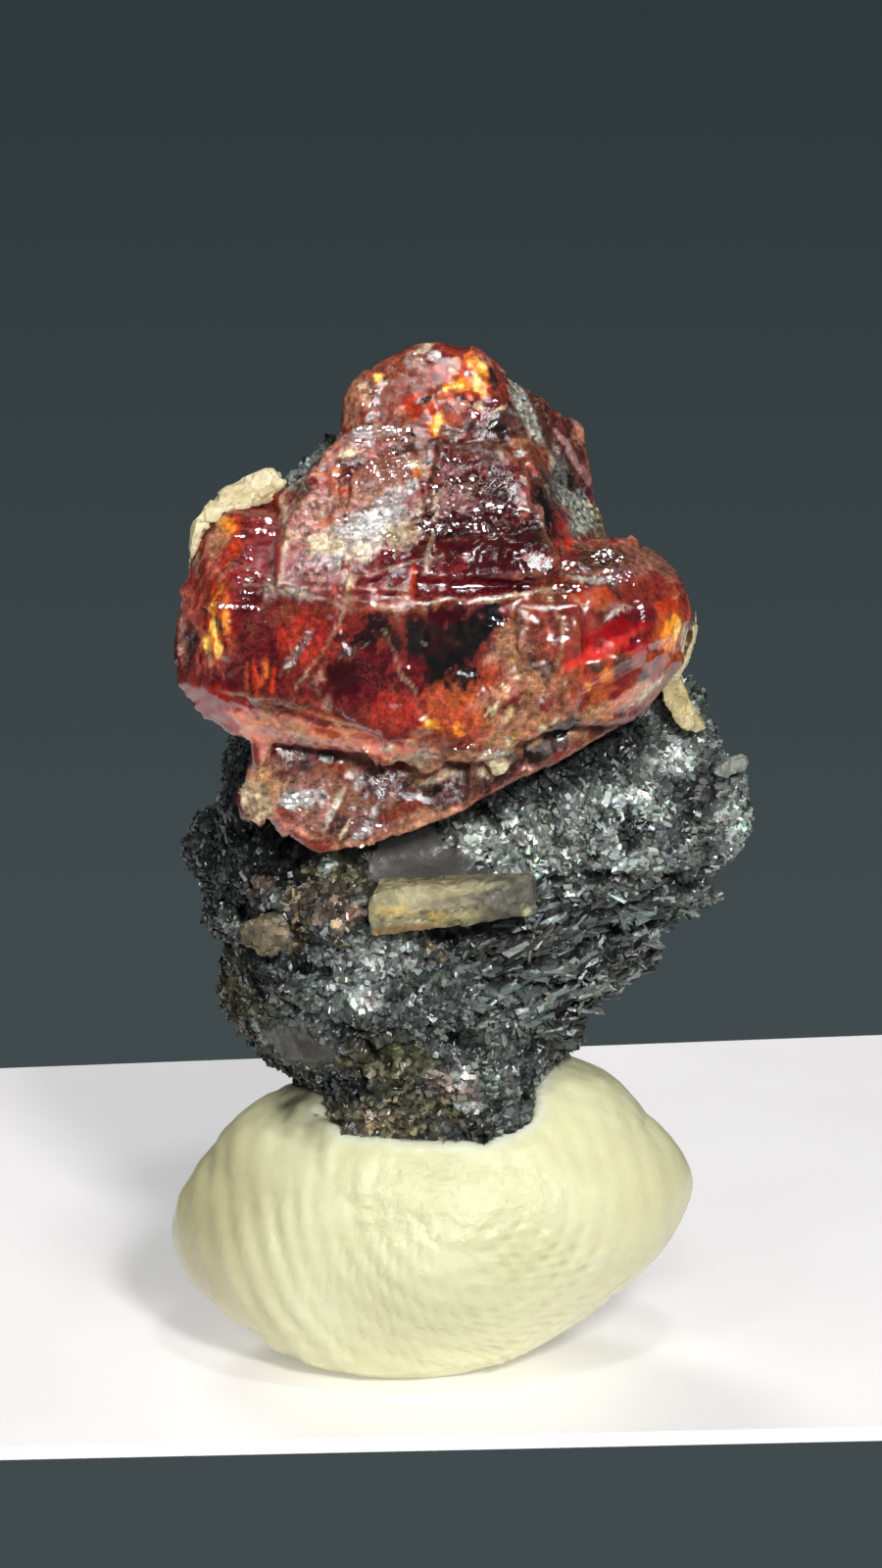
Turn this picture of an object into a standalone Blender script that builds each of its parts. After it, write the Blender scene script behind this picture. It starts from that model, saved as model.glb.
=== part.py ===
"""A red zircon crystal on its black biotite matrix, standing upright in a pad of display putty.

Frame: +Z up, the specimen's best side faces -Y, origin at the centre of the putty's flat foot.
Every length below is in millimetres and is turned into metres by MM as the meshes are made.
"""

import math
import random

import bmesh
import bpy
from mathutils import Matrix, Vector, noise

MM = 0.001

# The putty pad: a lemon-shaped pad, pressed flat where it stands and higher at its right end.
PUTTY_HALF_LENGTH = 6.0
PUTTY_HALF_DEPTH = 4.4
PUTTY_HALF_HEIGHT = 3.8
PUTTY_CENTRE_HEIGHT = 3.4
PUTTY_END_RISE = 0.6
PUTTY_TIP_LIFT = 0.25
PUTTY_POINTED_ENDS = 1.3
PUTTY_AROUND, PUTTY_ALONG = 34, 24
PUTTY_THUMB_DENT = 0.5
PUTTY_THUMB_PLACE = (0.0, -2.9, 6.4)
PUTTY_THUMB_REACH = 2.6

# Clearance left between two pieces that touch.
SEAT_GAP = 0.08

# The biotite matrix: lobes of stacked mica plates. Each lobe is (centre, half sizes, dip, strike,
# plate thickness); dip is how far its plates rise towards +X, strike how far they rise towards +Y.
MATRIX_LOBES = {
    "heart": ((-1.1, 0.8, 10.0), (4.3, 4.0, 4.4), 10, 12, 0.85),
    "brow": ((-1.4, -1.1, 9.7), (3.7, 2.6, 2.3), 8, 28, 0.6),
    "left_flank": ((-3.35, 0.9, 12.3), (2.1, 3.2, 3.5), -14, 6, 0.8),
    "shoulder": ((4.1, 0.6, 13.3), (3.4, 3.7, 2.6), 24, -14, 0.75),
    "foliated_wedge": ((2.3, 0.6, 10.3), (3.1, 3.3, 1.9), 26, 10, 0.5),
    "wedge_foot": ((1.6, 0.4, 8.6), (2.4, 2.9, 1.7), 26, 8, 0.5),
    "neck": ((-0.1, 0.2, 6.5), (2.5, 2.8, 2.2), -8, 5, 0.75),
    "back_wall": ((-1.3, 3.0, 17.2), (4.0, 1.7, 4.3), -6, 60, 0.7),
    "back_right": ((2.4, 2.6, 15.8), (2.9, 1.9, 2.8), 20, 50, 0.7),
}
# Blocks of the matrix with corners of their own: the foot that stands in the putty, the tip of
# the shoulder, and the crest that stands up behind the zircon.
FOOT_BLOCK = [
    (-2.1, -2.3, 5.7), (-2.2, -2.2, 7.0), (-0.2, -2.8, 5.6), (1.6, -2.9, 5.5), (2.1, -2.5, 5.9),
    (2.6, -2.0, 7.2), (2.3, -2.3, 8.0), (0.6, -2.9, 8.0), (-1.6, -2.6, 8.0), (-1.8, 0.5, 5.6),
    (2.3, 0.5, 5.8), (2.6, 0.5, 8.0), (-1.8, 0.5, 8.2),
]
SHOULDER_TIP = [
    (5.6, -1.6, 11.6), (7.0, -0.9, 12.0), (7.5, -0.6, 12.7), (7.4, -0.7, 13.9), (6.7, -0.9, 14.9),
    (5.5, -2.0, 15.1), (5.6, 2.0, 11.8), (7.1, 1.2, 12.3), (7.0, 1.0, 14.2), (5.5, 2.0, 15.0),
]
BACK_CREST = [
    (-3.7, 1.9, 19.8), (-3.5, 2.0, 20.6), (-2.9, 2.1, 21.2), (-2.3, 2.0, 21.8), (-1.8, 2.2, 21.5),
    (-1.6, 2.6, 19.6), (-3.4, 3.2, 19.8), (-2.6, 3.0, 21.3), (-1.8, 3.2, 20.8), (-2.6, 3.6, 18.6),
]
MATRIX_VOXEL = 0.24
MATRIX_TRIANGLES = 4300
MATRIX_ROUGHNESS_DEPTH = 0.2
MATRIX_ROUGHNESS_GRAIN = 1.1

# Hollows in the matrix: the smooth mould above the lath, where another crystal has fallen out,
# the hollow below the lath, and the gaps between the plates of the foliated wedge.
HOLLOWS = [
    [(-2.1, -4.8, 12.0), (-2.0, -4.8, 13.4), (0.9, -4.8, 13.7), (2.3, -4.8, 12.6),
     (-2.0, -3.0, 12.0), (2.2, -3.0, 12.3), (-1.5, -1.9, 13.2), (-0.3, -1.7, 13.5),
     (0.8, -1.8, 13.4), (2.0, -2.6, 12.7)],
    [(-0.5, -5.0, 10.8), (2.9, -4.8, 11.1), (2.9, -4.8, 11.8), (-0.4, -5.0, 11.5),
     (0.2, -2.5, 11.2), (2.4, -2.3, 11.4)],
    [(2.4, -4.5, 10.2), (6.2, -4.5, 11.6), (6.2, -4.5, 11.95), (2.4, -4.5, 10.4),
     (3.4, -1.4, 10.7), (6.4, 0.2, 11.8)],
    [(2.0, -4.5, 9.1), (5.9, -4.5, 10.5), (5.9, -4.5, 10.8), (2.0, -4.5, 9.3),
     (3.0, -1.5, 9.6), (6.0, 0.2, 10.7)],
    [(1.9, -4.5, 8.1), (4.9, -4.5, 9.3), (4.9, -4.5, 9.6), (1.9, -4.5, 8.3),
     (2.6, -1.6, 8.5), (5.0, 0.0, 9.5)],
]

# The zircon, as convex blocks that overlap: x, y, z of each corner.
PRISM = [
    (-5.85, -2.6, 16.9), (-5.8, -2.3, 18.3), (-5.5, -1.5, 19.9), (-4.6, -1.2, 20.6),
    (-4.4, -3.9, 19.4), (-4.6, -4.1, 17.1), (-3.6, -4.2, 19.6), (-0.9, -4.7, 19.3),
    (2.3, -4.3, 19.5), (2.7, -4.1, 16.4), (-0.2, -4.9, 16.5), (-5.2, -2.9, 16.2),
    (-4.1, -3.6, 15.8), (-0.9, -4.2, 15.6), (1.4, -3.9, 15.4), (2.3, -3.7, 15.9),
    (-5.4, 0.9, 17.2), (-5.0, 1.1, 19.6), (-3.8, 0.9, 20.8), (2.6, 1.2, 19.8),
    (3.0, 1.2, 16.6), (-3.4, 0.6, 15.9), (1.8, 0.6, 15.6),
]
PYRAMID = [
    (-3.7, -4.0, 19.5), (-0.9, -4.6, 19.3), (2.3, -4.2, 19.5), (3.9, -2.6, 19.2),
    (-3.4, -1.1, 20.9), (-2.4, -0.9, 21.9), (-1.9, -1.7, 22.1), (-0.2, -1.9, 22.5),
    (1.8, -1.4, 22.6), (2.5, -0.4, 21.9), (3.0, 0.2, 21.2), (3.7, 0.1, 19.8), (4.3, -0.6, 19.2),
    (-3.6, 1.0, 20.2), (-2.2, 1.4, 21.6), (1.5, 1.6, 22.1), (2.9, 1.4, 20.8), (3.9, 1.0, 19.0),
    (-3.6, -2.6, 18.0), (3.6, -2.2, 18.0),
]
PEAK = [
    (-2.05, -1.0, 23.4), (-1.2, -0.7, 24.1), (0.1, -0.4, 24.5), (1.2, -0.4, 24.3),
    (1.9, -0.2, 23.6), (1.8, -1.6, 22.6), (0.0, -2.1, 22.4), (-1.8, -1.7, 22.5),
    (-2.1, -1.3, 22.3), (2.4, 0.1, 22.9), (-1.5, 0.8, 23.2), (0.2, 1.0, 23.9), (1.6, 0.9, 23.5),
    (-1.9, 1.0, 21.8), (2.2, 1.2, 21.9),
]
FLANK = [
    (1.9, 0.1, 23.5), (3.1, 0.6, 22.4), (3.45, 0.7, 22.2), (3.5, 0.4, 21.3), (3.7, 0.3, 20.2),
    (4.1, -0.3, 19.3), (2.5, -0.9, 21.2), (3.1, -1.5, 19.6), (1.9, 1.6, 22.4), (3.1, 1.7, 21.0),
    (3.6, 1.7, 19.4), (2.3, 1.7, 18.8),
]
LOBE = [
    (2.7, -4.2, 19.0), (3.6, -4.0, 19.4), (4.9, -2.6, 19.6), (5.7, -2.0, 19.3), (6.05, -1.9, 18.3),
    (5.8, -2.1, 17.3), (4.9, -2.9, 16.4), (3.9, -3.5, 16.0), (2.9, -3.9, 16.2), (3.1, -4.5, 18.4),
    (4.6, -4.0, 18.2), (4.4, -3.9, 17.0), (5.7, 0.8, 17.9), (5.2, 0.9, 19.3), (4.5, 0.4, 16.5),
    (2.6, 0.6, 16.2), (2.6, 0.8, 19.4),
]
LOWER_LEDGE = [
    (-4.1, -3.3, 15.3), (-4.5, -3.1, 14.4), (-3.9, -3.1, 13.8), (-2.9, -3.3, 13.4),
    (-2.6, -3.2, 13.0), (-1.9, -3.3, 13.1), (0.0, -3.5, 13.8), (1.4, -3.4, 14.6),
    (2.7, -3.3, 15.2), (5.2, -2.6, 16.4), (-3.6, -3.0, 16.6), (4.4, -2.4, 17.2),
    (-3.6, -0.6, 15.0), (-1.8, -0.4, 14.6), (1.5, -0.4, 15.6), (3.6, -0.2, 16.6),
]
# Blocks that stand a little proud of the faces, in the same terms: the spur that ties the ledge
# to the prism, the rough knuckle over the lobe and the lobe's rib.
SPURS = [
    [(-4.15, -3.5, 16.1), (-3.5, -3.7, 16.1), (-3.9, -3.5, 15.1), (-4.05, -3.5, 15.1),
     (-4.1, -2.4, 16.1), (-3.5, -2.4, 16.1), (-4.0, -2.4, 15.0)],
    [(3.0, -3.7, 19.5), (4.4, -2.8, 19.7), (5.2, -2.2, 19.6), (4.6, -1.7, 20.2), (3.2, -2.3, 20.2),
     (3.2, -1.6, 19.2), (4.9, -1.5, 19.2), (3.1, -3.2, 19.1)],
    [(3.0, -4.5, 17.8), (4.5, -4.3, 18.1), (5.6, -2.9, 18.2), (4.9, -3.4, 17.5), (3.4, -4.4, 17.2),
     (3.4, -3.2, 18.2), (5.2, -2.4, 18.1), (3.4, -3.4, 17.2)],
]
# Growth steps on the pyramid's sloping front: how proud each stands, and its outline as places
# across the face and up its slope from the ridge.
SLOPE_FOOT = (0, -4.55, 19.35)
SLOPE_TOP = (0, -1.85, 22.55)
GROWTH_STEPS = [
    (0.10, [(-3.5, 0.3), (-2.1, 0.1), (-2.0, 1.9), (-2.1, 3.3), (-2.9, 2.6), (-3.5, 1.3)]),
    (0.17, [(-1.9, 0.2), (-0.4, 0.1), (-0.2, 2.4), (-0.4, 3.8), (-1.8, 3.2), (-1.9, 1.7)]),
    (0.22, [(-0.3, 0.5), (2.6, 0.5), (3.0, 0.9), (2.6, 1.6), (0.2, 1.5), (-0.3, 1.2)]),
    (0.14, [(-0.2, 1.3), (2.7, 1.3), (2.5, 2.4), (1.2, 2.7), (-0.1, 2.3)]),
    (0.20, [(0.0, 2.5), (0.8, 2.5), (2.3, 2.2), (2.2, 3.2), (1.5, 3.9), (0.2, 3.9)]),
    (0.12, [(-2.9, 2.9), (-1.9, 3.4), (-0.5, 3.9), (-0.4, 4.3), (-1.9, 4.2), (-2.4, 3.8)]),
]
ZIRCON_CHIP_DEPTH = 0.2

# The pale minerals round the zircon: corners, in the same terms.
LATH = [
    (-1.4, -4.0, 11.5), (-1.5, -3.9, 11.9), (-1.3, -3.9, 12.25), (-1.0, -3.8, 12.4),
    (2.3, -3.2, 12.55), (2.4, -3.3, 12.2), (2.4, -3.5, 11.7), (-1.3, -4.1, 11.35),
    (-1.3, -2.6, 11.4), (-1.2, -2.6, 12.3), (2.4, -2.3, 12.4), (2.4, -2.3, 11.7),
    (1.2, -3.8, 11.6), (-0.9, -4.2, 11.9), (1.0, -3.9, 12.1),
]
FELDSPAR_RIM_LEFT = [
    (-5.5, -1.6, 19.6), (-5.4, -1.4, 20.5), (-4.7, -0.8, 21.1), (-3.6, -0.4, 21.5),
    (-3.3, -0.6, 21.2), (-4.6, -1.3, 20.5), (-5.5, -0.2, 19.9), (-4.6, 0.3, 20.9),
    (-3.6, 0.4, 21.2), (-5.6, -1.0, 18.6), (-5.3, 0.2, 18.9),
]
FELDSPAR_RIM_RIGHT = [
    (6.1, -1.6, 18.4), (6.1, -1.5, 17.6), (5.7, -1.8, 16.8), (5.5, -1.8, 16.7), (5.8, -0.4, 18.2),
    (5.7, -0.3, 17.1), (5.2, -0.8, 16.6), (5.6, -1.9, 17.2),
]
FELDSPAR_BLADE_RIGHT = [
    (5.6, -1.9, 16.5), (5.9, -1.8, 16.4), (6.3, -1.5, 15.6), (6.1, -1.6, 15.4), (5.8, -1.9, 15.7),
    (5.7, -0.6, 16.3), (6.2, -0.4, 15.5),
]
FELDSPAR_GRAIN_SHOULDER = [
    (6.5, -1.5, 14.5), (6.9, -1.3, 14.8), (7.3, -1.1, 14.8), (7.3, -1.1, 14.55), (6.8, -1.5, 14.35),
    (6.6, -0.6, 14.6), (7.2, -0.4, 14.7),
]
FELDSPAR_GRAIN_LEFT = [
    (-4.4, -2.9, 10.8), (-4.3, -2.9, 11.3), (-3.9, -3.2, 11.5), (-3.3, -3.2, 11.4),
    (-3.2, -3.4, 10.9), (-3.8, -3.3, 10.6), (-4.2, -1.6, 10.9), (-3.5, -1.6, 11.3),
    (-3.6, -1.6, 10.7),
]

COLOURS = {
    "zircon": ((0.30, 0.035, 0.03), 0.12),
    "matrix": ((0.035, 0.037, 0.036), 0.4),
    "feldspar": ((0.62, 0.53, 0.34), 0.45),
    "putty": ((0.74, 0.74, 0.5), 0.55),
}


def clear_scene():
    for old in list(bpy.data.objects):
        bpy.data.objects.remove(old)


def material(name):
    """A plain material in the mineral's own colour; the zircon lets light through."""
    colour, roughness = COLOURS[name]
    made = bpy.data.materials.get(name)
    if made:
        return made
    made = bpy.data.materials.new(name)
    made.use_nodes = True
    shader = made.node_tree.nodes["Principled BSDF"]
    shader.inputs["Base Color"].default_value = (*colour, 1)
    shader.inputs["Roughness"].default_value = roughness
    shader.inputs["Metallic"].default_value = 0
    if name == "zircon":
        shader.inputs["Transmission Weight"].default_value = 0.6
        shader.inputs["IOR"].default_value = 1.95
    return made


def object_from(name, bm, material_name):
    """Turns a bmesh in millimetres into an object in metres."""
    bmesh.ops.scale(bm, vec=(MM, MM, MM), verts=bm.verts)
    bmesh.ops.recalc_face_normals(bm, faces=bm.faces)
    mesh = bpy.data.meshes.new(name)
    bm.to_mesh(mesh)
    bm.free()
    mesh.materials.append(material(material_name))
    made = bpy.data.objects.new(name, mesh)
    bpy.context.scene.collection.objects.link(made)
    return made


def applied(obj):
    """Writes the object's modifiers into its mesh."""
    bpy.context.view_layer.update()
    graph = bpy.context.evaluated_depsgraph_get()
    mesh = bpy.data.meshes.new_from_object(obj.evaluated_get(graph))
    obj.modifiers.clear()
    obj.data = mesh
    return obj


def hull(corners):
    """The convex block on these corners, as a bmesh."""
    bm = bmesh.new()
    for corner in corners:
        bm.verts.new(corner)
    bmesh.ops.convex_hull(bm, input=bm.verts)
    loose = [v for v in bm.verts if not v.link_faces]
    bmesh.ops.delete(bm, geom=loose, context="VERTS")
    return bm


def cut_off(bm, point, normal):
    """Takes off what lies beyond a plane and closes the cut with one flat face."""
    geometry = bm.verts[:] + bm.edges[:] + bm.faces[:]
    cut = bmesh.ops.bisect_plane(
        bm, geom=geometry, plane_co=point, plane_no=normal, clear_outer=True, dist=1e-5
    )
    edges = [g for g in cut["geom_cut"] if isinstance(g, bmesh.types.BMEdge)]
    if edges:
        bmesh.ops.holes_fill(bm, edges=edges, sides=0)


def chipped(bm, rng, depth):
    """Breaks one flat chip, no deeper than depth, off most of a block's corners."""
    bmesh.ops.recalc_face_normals(bm, faces=bm.faces)
    middle = sum((v.co for v in bm.verts), Vector()) / len(bm.verts)
    corners = [v.co.copy() for v in bm.verts]
    for corner in corners:
        lean = Vector([rng.uniform(-0.5, 0.5) for _ in range(3)])
        normal = ((corner - middle).normalized() + lean).normalized()
        furthest = max(v.co.dot(normal) for v in bm.verts)
        cut_off(bm, normal * (furthest - rng.uniform(0.1, 1.0) * depth), normal)
    return bm


def add_modifier(obj, kind, **settings):
    modifier = obj.modifiers.new(kind.title(), kind)
    for key, value in settings.items():
        setattr(modifier, key, value)
    return modifier


def combined(target, other, operation):
    """Joins other to target, or cuts it out of target, and removes it."""
    add_modifier(target, "BOOLEAN", object=other, operation=operation, solver="EXACT")
    applied(target)
    bpy.data.objects.remove(other)
    return target


def cleaned(obj, nearest=0.004):
    """Welds points that a cut has left on top of each other, and makes every face a triangle."""
    bm = bmesh.new()
    bm.from_mesh(obj.data)
    bmesh.ops.remove_doubles(bm, verts=bm.verts, dist=nearest * MM)
    bmesh.ops.dissolve_degenerate(bm, edges=bm.edges, dist=nearest * MM)
    bmesh.ops.triangulate(bm, faces=bm.faces)
    bm.to_mesh(obj.data)
    bm.free()
    return obj


def grown_copy(obj, gap):
    """A copy of a piece, larger by gap on every side, to cut its seat out of a neighbour."""
    grown = obj.copy()
    grown.data = obj.data.copy()
    bpy.context.scene.collection.objects.link(grown)
    add_modifier(grown, "REMESH", mode="VOXEL", voxel_size=0.16 * MM)
    add_modifier(grown, "DISPLACE", strength=gap * MM, mid_level=0)
    add_modifier(grown, "DECIMATE", ratio=0.12)
    return applied(grown)


def step_corners(proud, outline, rng):
    """A growth step's corners: its outline laid on the pyramid's slope, standing this proud."""
    foot, up = Vector(SLOPE_FOOT), (Vector(SLOPE_TOP) - Vector(SLOPE_FOOT)).normalized()
    outward = Vector((1, 0, 0)).cross(up)
    corners = []
    for across, along in outline:
        place = foot + Vector((across, 0, 0)) + up * along
        corners.append(place + outward * proud * rng.uniform(0.7, 1.3))
        corners.append(place - outward * 0.5)
    return corners


def make_zircon():
    """One crystal mass: prism, pyramid, peak, flank, glassy lobe and lower ledge, with steps."""
    rng = random.Random(11)
    steps = [step_corners(proud, outline, rng) for proud, outline in GROWTH_STEPS]
    blocks = [PRISM, PYRAMID, PEAK, FLANK, LOBE, LOWER_LEDGE, *SPURS, *steps]
    zircon = None
    for number, corners in enumerate(blocks):
        bm = chipped(hull(corners), rng, ZIRCON_CHIP_DEPTH if number < 6 else 0.06)
        block = object_from(f"zircon_block_{number}", bm, "zircon")
        zircon = block if zircon is None else combined(zircon, block, "UNION")
    zircon.name = "zircon_crystal"
    return cleaned(zircon)


def mica_plate(centre, half_x, half_y, thickness, turn, rng):
    """One irregular plate of mica, as a hull of two jagged outlines."""
    sides = rng.randint(9, 12)
    corners = []
    for i in range(sides):
        angle = 2 * math.pi * (i + rng.uniform(-0.3, 0.3)) / sides
        reach = rng.uniform(0.84, 1.08)
        x, y = half_x * reach * math.cos(angle), half_y * reach * math.sin(angle)
        for side in (-0.5, 0.5):
            shrink = rng.uniform(0.9, 1.0)
            height = thickness * (side + rng.uniform(-0.1, 0.1))
            corners.append(centre + turn @ Vector((x * shrink, y * shrink, height)))
    return hull(corners)


def add_lobe(stack, lobe, rng):
    """Fills an egg-shaped lobe of the matrix with stacked mica plates."""
    middle, half, dip, strike, thickness = lobe
    turn = Matrix.Rotation(math.radians(-dip), 3, "Y") @ Matrix.Rotation(math.radians(strike), 3, "X")
    normal = turn @ Vector((0, 0, 1))
    reach = math.sqrt(sum((normal[i] * half[i]) ** 2 for i in range(3)))
    along_x = math.sqrt(sum(((turn @ Vector((1, 0, 0)))[i] * half[i]) ** 2 for i in range(3)))
    along_y = math.sqrt(sum(((turn @ Vector((0, 1, 0)))[i] * half[i]) ** 2 for i in range(3)))
    plates = max(3, round(2 * reach / thickness))
    for i in range(plates):
        share = (2 * (i + 0.5) / plates - 1) * 0.94
        width = math.sqrt(1 - share**2) * rng.uniform(0.9, 1.06)
        drift = Vector([rng.uniform(-0.25, 0.25) for _ in range(3)])
        lean = Matrix.Rotation(math.radians(rng.uniform(-5, 5)), 3, "X") @ turn
        centre = Vector(middle) + normal * reach * share + drift
        plate = mica_plate(centre, along_x * width, along_y * width, thickness * 1.35, lean, rng)
        join_into(stack, plate)


def join_into(stack, bm):
    """Adds a bmesh to a growing one."""
    mesh = bpy.data.meshes.new("joined")
    bm.to_mesh(mesh)
    bm.free()
    stack.from_mesh(mesh)
    bpy.data.meshes.remove(mesh)


def roughened(obj, depth, grain):
    """Moves each point in or out along its normal by a rough noise."""
    for vertex in obj.data.vertices:
        place = vertex.co / MM / grain
        rough = noise.fractal(place, 0.9, 2.1, 3) + 0.6 * noise.noise(place * 0.4)
        vertex.co += vertex.normal * rough * depth * MM
    obj.data.update()
    return obj


def make_matrix(zircon, grains):
    """The black mica rock, cut back where the zircon and the pale grains sit in it."""
    rng = random.Random(5)
    stack = bmesh.new()
    for lobe in MATRIX_LOBES.values():
        add_lobe(stack, lobe, rng)
    for block in (FOOT_BLOCK, SHOULDER_TIP, BACK_CREST):
        join_into(stack, hull(block))
    matrix = object_from("biotite_matrix", stack, "matrix")
    add_modifier(matrix, "REMESH", mode="VOXEL", voxel_size=MATRIX_VOXEL * MM)
    applied(matrix)
    roughened(matrix, MATRIX_ROUGHNESS_DEPTH, MATRIX_ROUGHNESS_GRAIN)
    triangles = 2 * len(matrix.data.polygons)
    add_modifier(matrix, "DECIMATE", ratio=MATRIX_TRIANGLES / triangles)
    applied(matrix)
    for hollow in HOLLOWS:
        combined(matrix, object_from("hollow", hull(hollow), "matrix"), "DIFFERENCE")
    for neighbour in (zircon, *grains):
        combined(matrix, grown_copy(neighbour, SEAT_GAP), "DIFFERENCE")
    return cleaned(largest_body(matrix))


def largest_body(obj):
    """Keeps the largest connected piece of a mesh and drops crumbs that the cuts have freed."""
    bm = bmesh.new()
    bm.from_mesh(obj.data)
    left, bodies = set(bm.verts), []
    while left:
        seen, todo = set(), [left.pop()]
        while todo:
            vertex = todo.pop()
            if vertex in seen:
                continue
            seen.add(vertex)
            todo += [edge.other_vert(vertex) for edge in vertex.link_edges]
        left -= seen
        bodies.append(seen)
    crumbs = [v for body in sorted(bodies, key=len)[:-1] for v in body]
    bmesh.ops.delete(bm, geom=crumbs, context="VERTS")
    bm.to_mesh(obj.data)
    bm.free()
    return obj


def make_grain(name, corners, seed):
    bm = chipped(hull(corners), random.Random(seed), 0.06)
    return cleaned(object_from(name, bm, "feldspar"))


def make_putty(matrix):
    """The putty pad, pressed round the foot of the matrix and cut flat where it stands."""
    bm = bmesh.new()
    bmesh.ops.create_uvsphere(bm, u_segments=PUTTY_AROUND, v_segments=PUTTY_ALONG, radius=1)
    thumb = Vector(PUTTY_THUMB_PLACE)
    for vertex in bm.verts:
        along, across, up = vertex.co.z, vertex.co.y, vertex.co.x
        ring = max(math.hypot(across, up), 1e-6)
        fullness = ring**PUTTY_POINTED_ENDS / ring
        lift = PUTTY_CENTRE_HEIGHT + PUTTY_END_RISE * along + PUTTY_TIP_LIFT * along**4
        place = Vector((
            PUTTY_HALF_LENGTH * along,
            PUTTY_HALF_DEPTH * across * fullness,
            lift + PUTTY_HALF_HEIGHT * up * fullness,
        ))
        near = max(0.0, 1 - (place - thumb).length / PUTTY_THUMB_REACH)
        place += Vector((0, 0.4, -1)) * PUTTY_THUMB_DENT * near * near * (3 - 2 * near)
        place += (place - Vector((0, 0, lift))).normalized() * 0.12 * noise.noise(place * 0.45)
        vertex.co = place
    cut_off(bm, Vector((0, 0, 0)), Vector((0, 0, -1)))
    putty = object_from("display_putty", bm, "putty")
    combined(putty, grown_copy(matrix, SEAT_GAP), "DIFFERENCE")
    return cleaned(largest_body(putty))


clear_scene()
zircon_crystal = make_zircon()
grain_corners = {
    "feldspar_lath": LATH,
    "feldspar_rim_left": FELDSPAR_RIM_LEFT,
    "feldspar_rim_right": FELDSPAR_RIM_RIGHT,
    "feldspar_blade_right": FELDSPAR_BLADE_RIGHT,
    "feldspar_grain_shoulder": FELDSPAR_GRAIN_SHOULDER,
    "feldspar_grain_left": FELDSPAR_GRAIN_LEFT,
}
pale_grains = [make_grain(name, corners, 3 + i) for i, (name, corners) in enumerate(grain_corners.items())]
for grain in pale_grains:
    combined(grain, grown_copy(zircon_crystal, SEAT_GAP), "DIFFERENCE")
    cleaned(largest_body(grain))
biotite_matrix = make_matrix(zircon_crystal, pale_grains)
make_putty(biotite_matrix)
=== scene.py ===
import itertools
import math

import bmesh
import bpy
import numpy as np
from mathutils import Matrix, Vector
from mathutils.bvhtree import BVHTree


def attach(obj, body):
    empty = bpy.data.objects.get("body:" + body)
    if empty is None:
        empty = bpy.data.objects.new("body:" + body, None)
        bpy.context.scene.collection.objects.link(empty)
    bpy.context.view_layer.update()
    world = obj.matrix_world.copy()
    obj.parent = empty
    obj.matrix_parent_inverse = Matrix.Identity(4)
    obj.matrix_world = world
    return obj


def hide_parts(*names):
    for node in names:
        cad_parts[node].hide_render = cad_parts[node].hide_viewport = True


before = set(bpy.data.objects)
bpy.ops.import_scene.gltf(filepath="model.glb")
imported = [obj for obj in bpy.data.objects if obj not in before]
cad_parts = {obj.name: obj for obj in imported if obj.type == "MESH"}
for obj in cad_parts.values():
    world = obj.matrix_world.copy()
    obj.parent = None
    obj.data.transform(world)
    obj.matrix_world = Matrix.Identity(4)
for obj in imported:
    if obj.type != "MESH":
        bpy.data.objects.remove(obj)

# The looks of the zircon specimen. Lengths here are in millimetres unless a name ends in _M.
MM = 0.001

# Camera: level with the specimen's middle, looking down a little, square to its best side.
VIEW_ELEVATION = 15
VIEW_CENTRE = (0.23, 0, 13.86)
VIEW_DISTANCE = 200
VIEW_HEIGHT = 36.36
SENSOR_WIDTH = 36
# How the 900x1600 photograph is read: its middle in pixels, which is VIEW_CENTRE, and its scale.
PHOTO_MIDDLE = (450, 800)
PIXELS_PER_MM = 44
# The main light's place, in mm.
KEY_PLACE = (40, -165, 105)

# Spacing of the points in each fine mesh.
ZIRCON_GRAIN = 0.075
MATRIX_GRAIN = 0.105
PUTTY_GRAIN = 0.08
FELDSPAR_GRAIN = 0.06

TILT = math.radians(VIEW_ELEVATION)
RIGHT = np.array((1, 0, 0))
UP = np.array((0, math.sin(TILT), math.cos(TILT)))
AWAY = np.array((0, math.cos(TILT), -math.sin(TILT)))


def linear(red, green, blue):
    """A colour given as 0 to 255 screen values, in the linear values that shaders use."""
    return tuple(((c / 255 + 0.055) / 1.055) ** 2.4 if c > 10 else c / 3294.6 for c in (red, green, blue))


# ---------------------------------------------------------------- numbers at places

# Calls of rough and facets give a size in mm, then a seed: any whole number, which makes that
# noise unlike the others.

# How soft a zone's edge is, as a share of its size.
ZONE_EDGE = 0.4


def hashed(cells, seed):
    """A repeatable number from -1 to 1 for each whole-number place."""
    mix = cells[:, 0] * 73856093 ^ cells[:, 1] * 19349663 ^ cells[:, 2] * 83492791 ^ seed * 961748941
    mix = (mix ^ (mix >> 13)) & 0x7FFFFFFF
    mix = (mix * 1274126177) & 0x7FFFFFFF
    mix = (mix ^ (mix >> 15)) * 668265263 & 0x7FFFFFFF
    return mix / 0x3FFFFFFF - 1


def smooth_noise(places, seed):
    """Smooth values from -1 to 1, with lumps one unit across."""
    base = np.floor(places).astype(np.int64)
    part = places - base
    ease = part * part * (3 - 2 * part)
    total = np.zeros(len(places))
    for corner in itertools.product((0, 1), repeat=3):
        weight = np.prod(np.where(corner, ease, 1 - ease), axis=1)
        total += weight * hashed(base + corner, seed)
    return total


def rough(places, size, seed, octaves=3):
    """Lumpy values about 0, with lumps of this size in mm and finer ones on them."""
    total, share = np.zeros(len(places)), 1.0
    for octave in range(octaves):
        total += share * smooth_noise(places / size * 2**octave + 17.3 * octave, seed + octave)
        share *= 0.5
    return total


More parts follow.
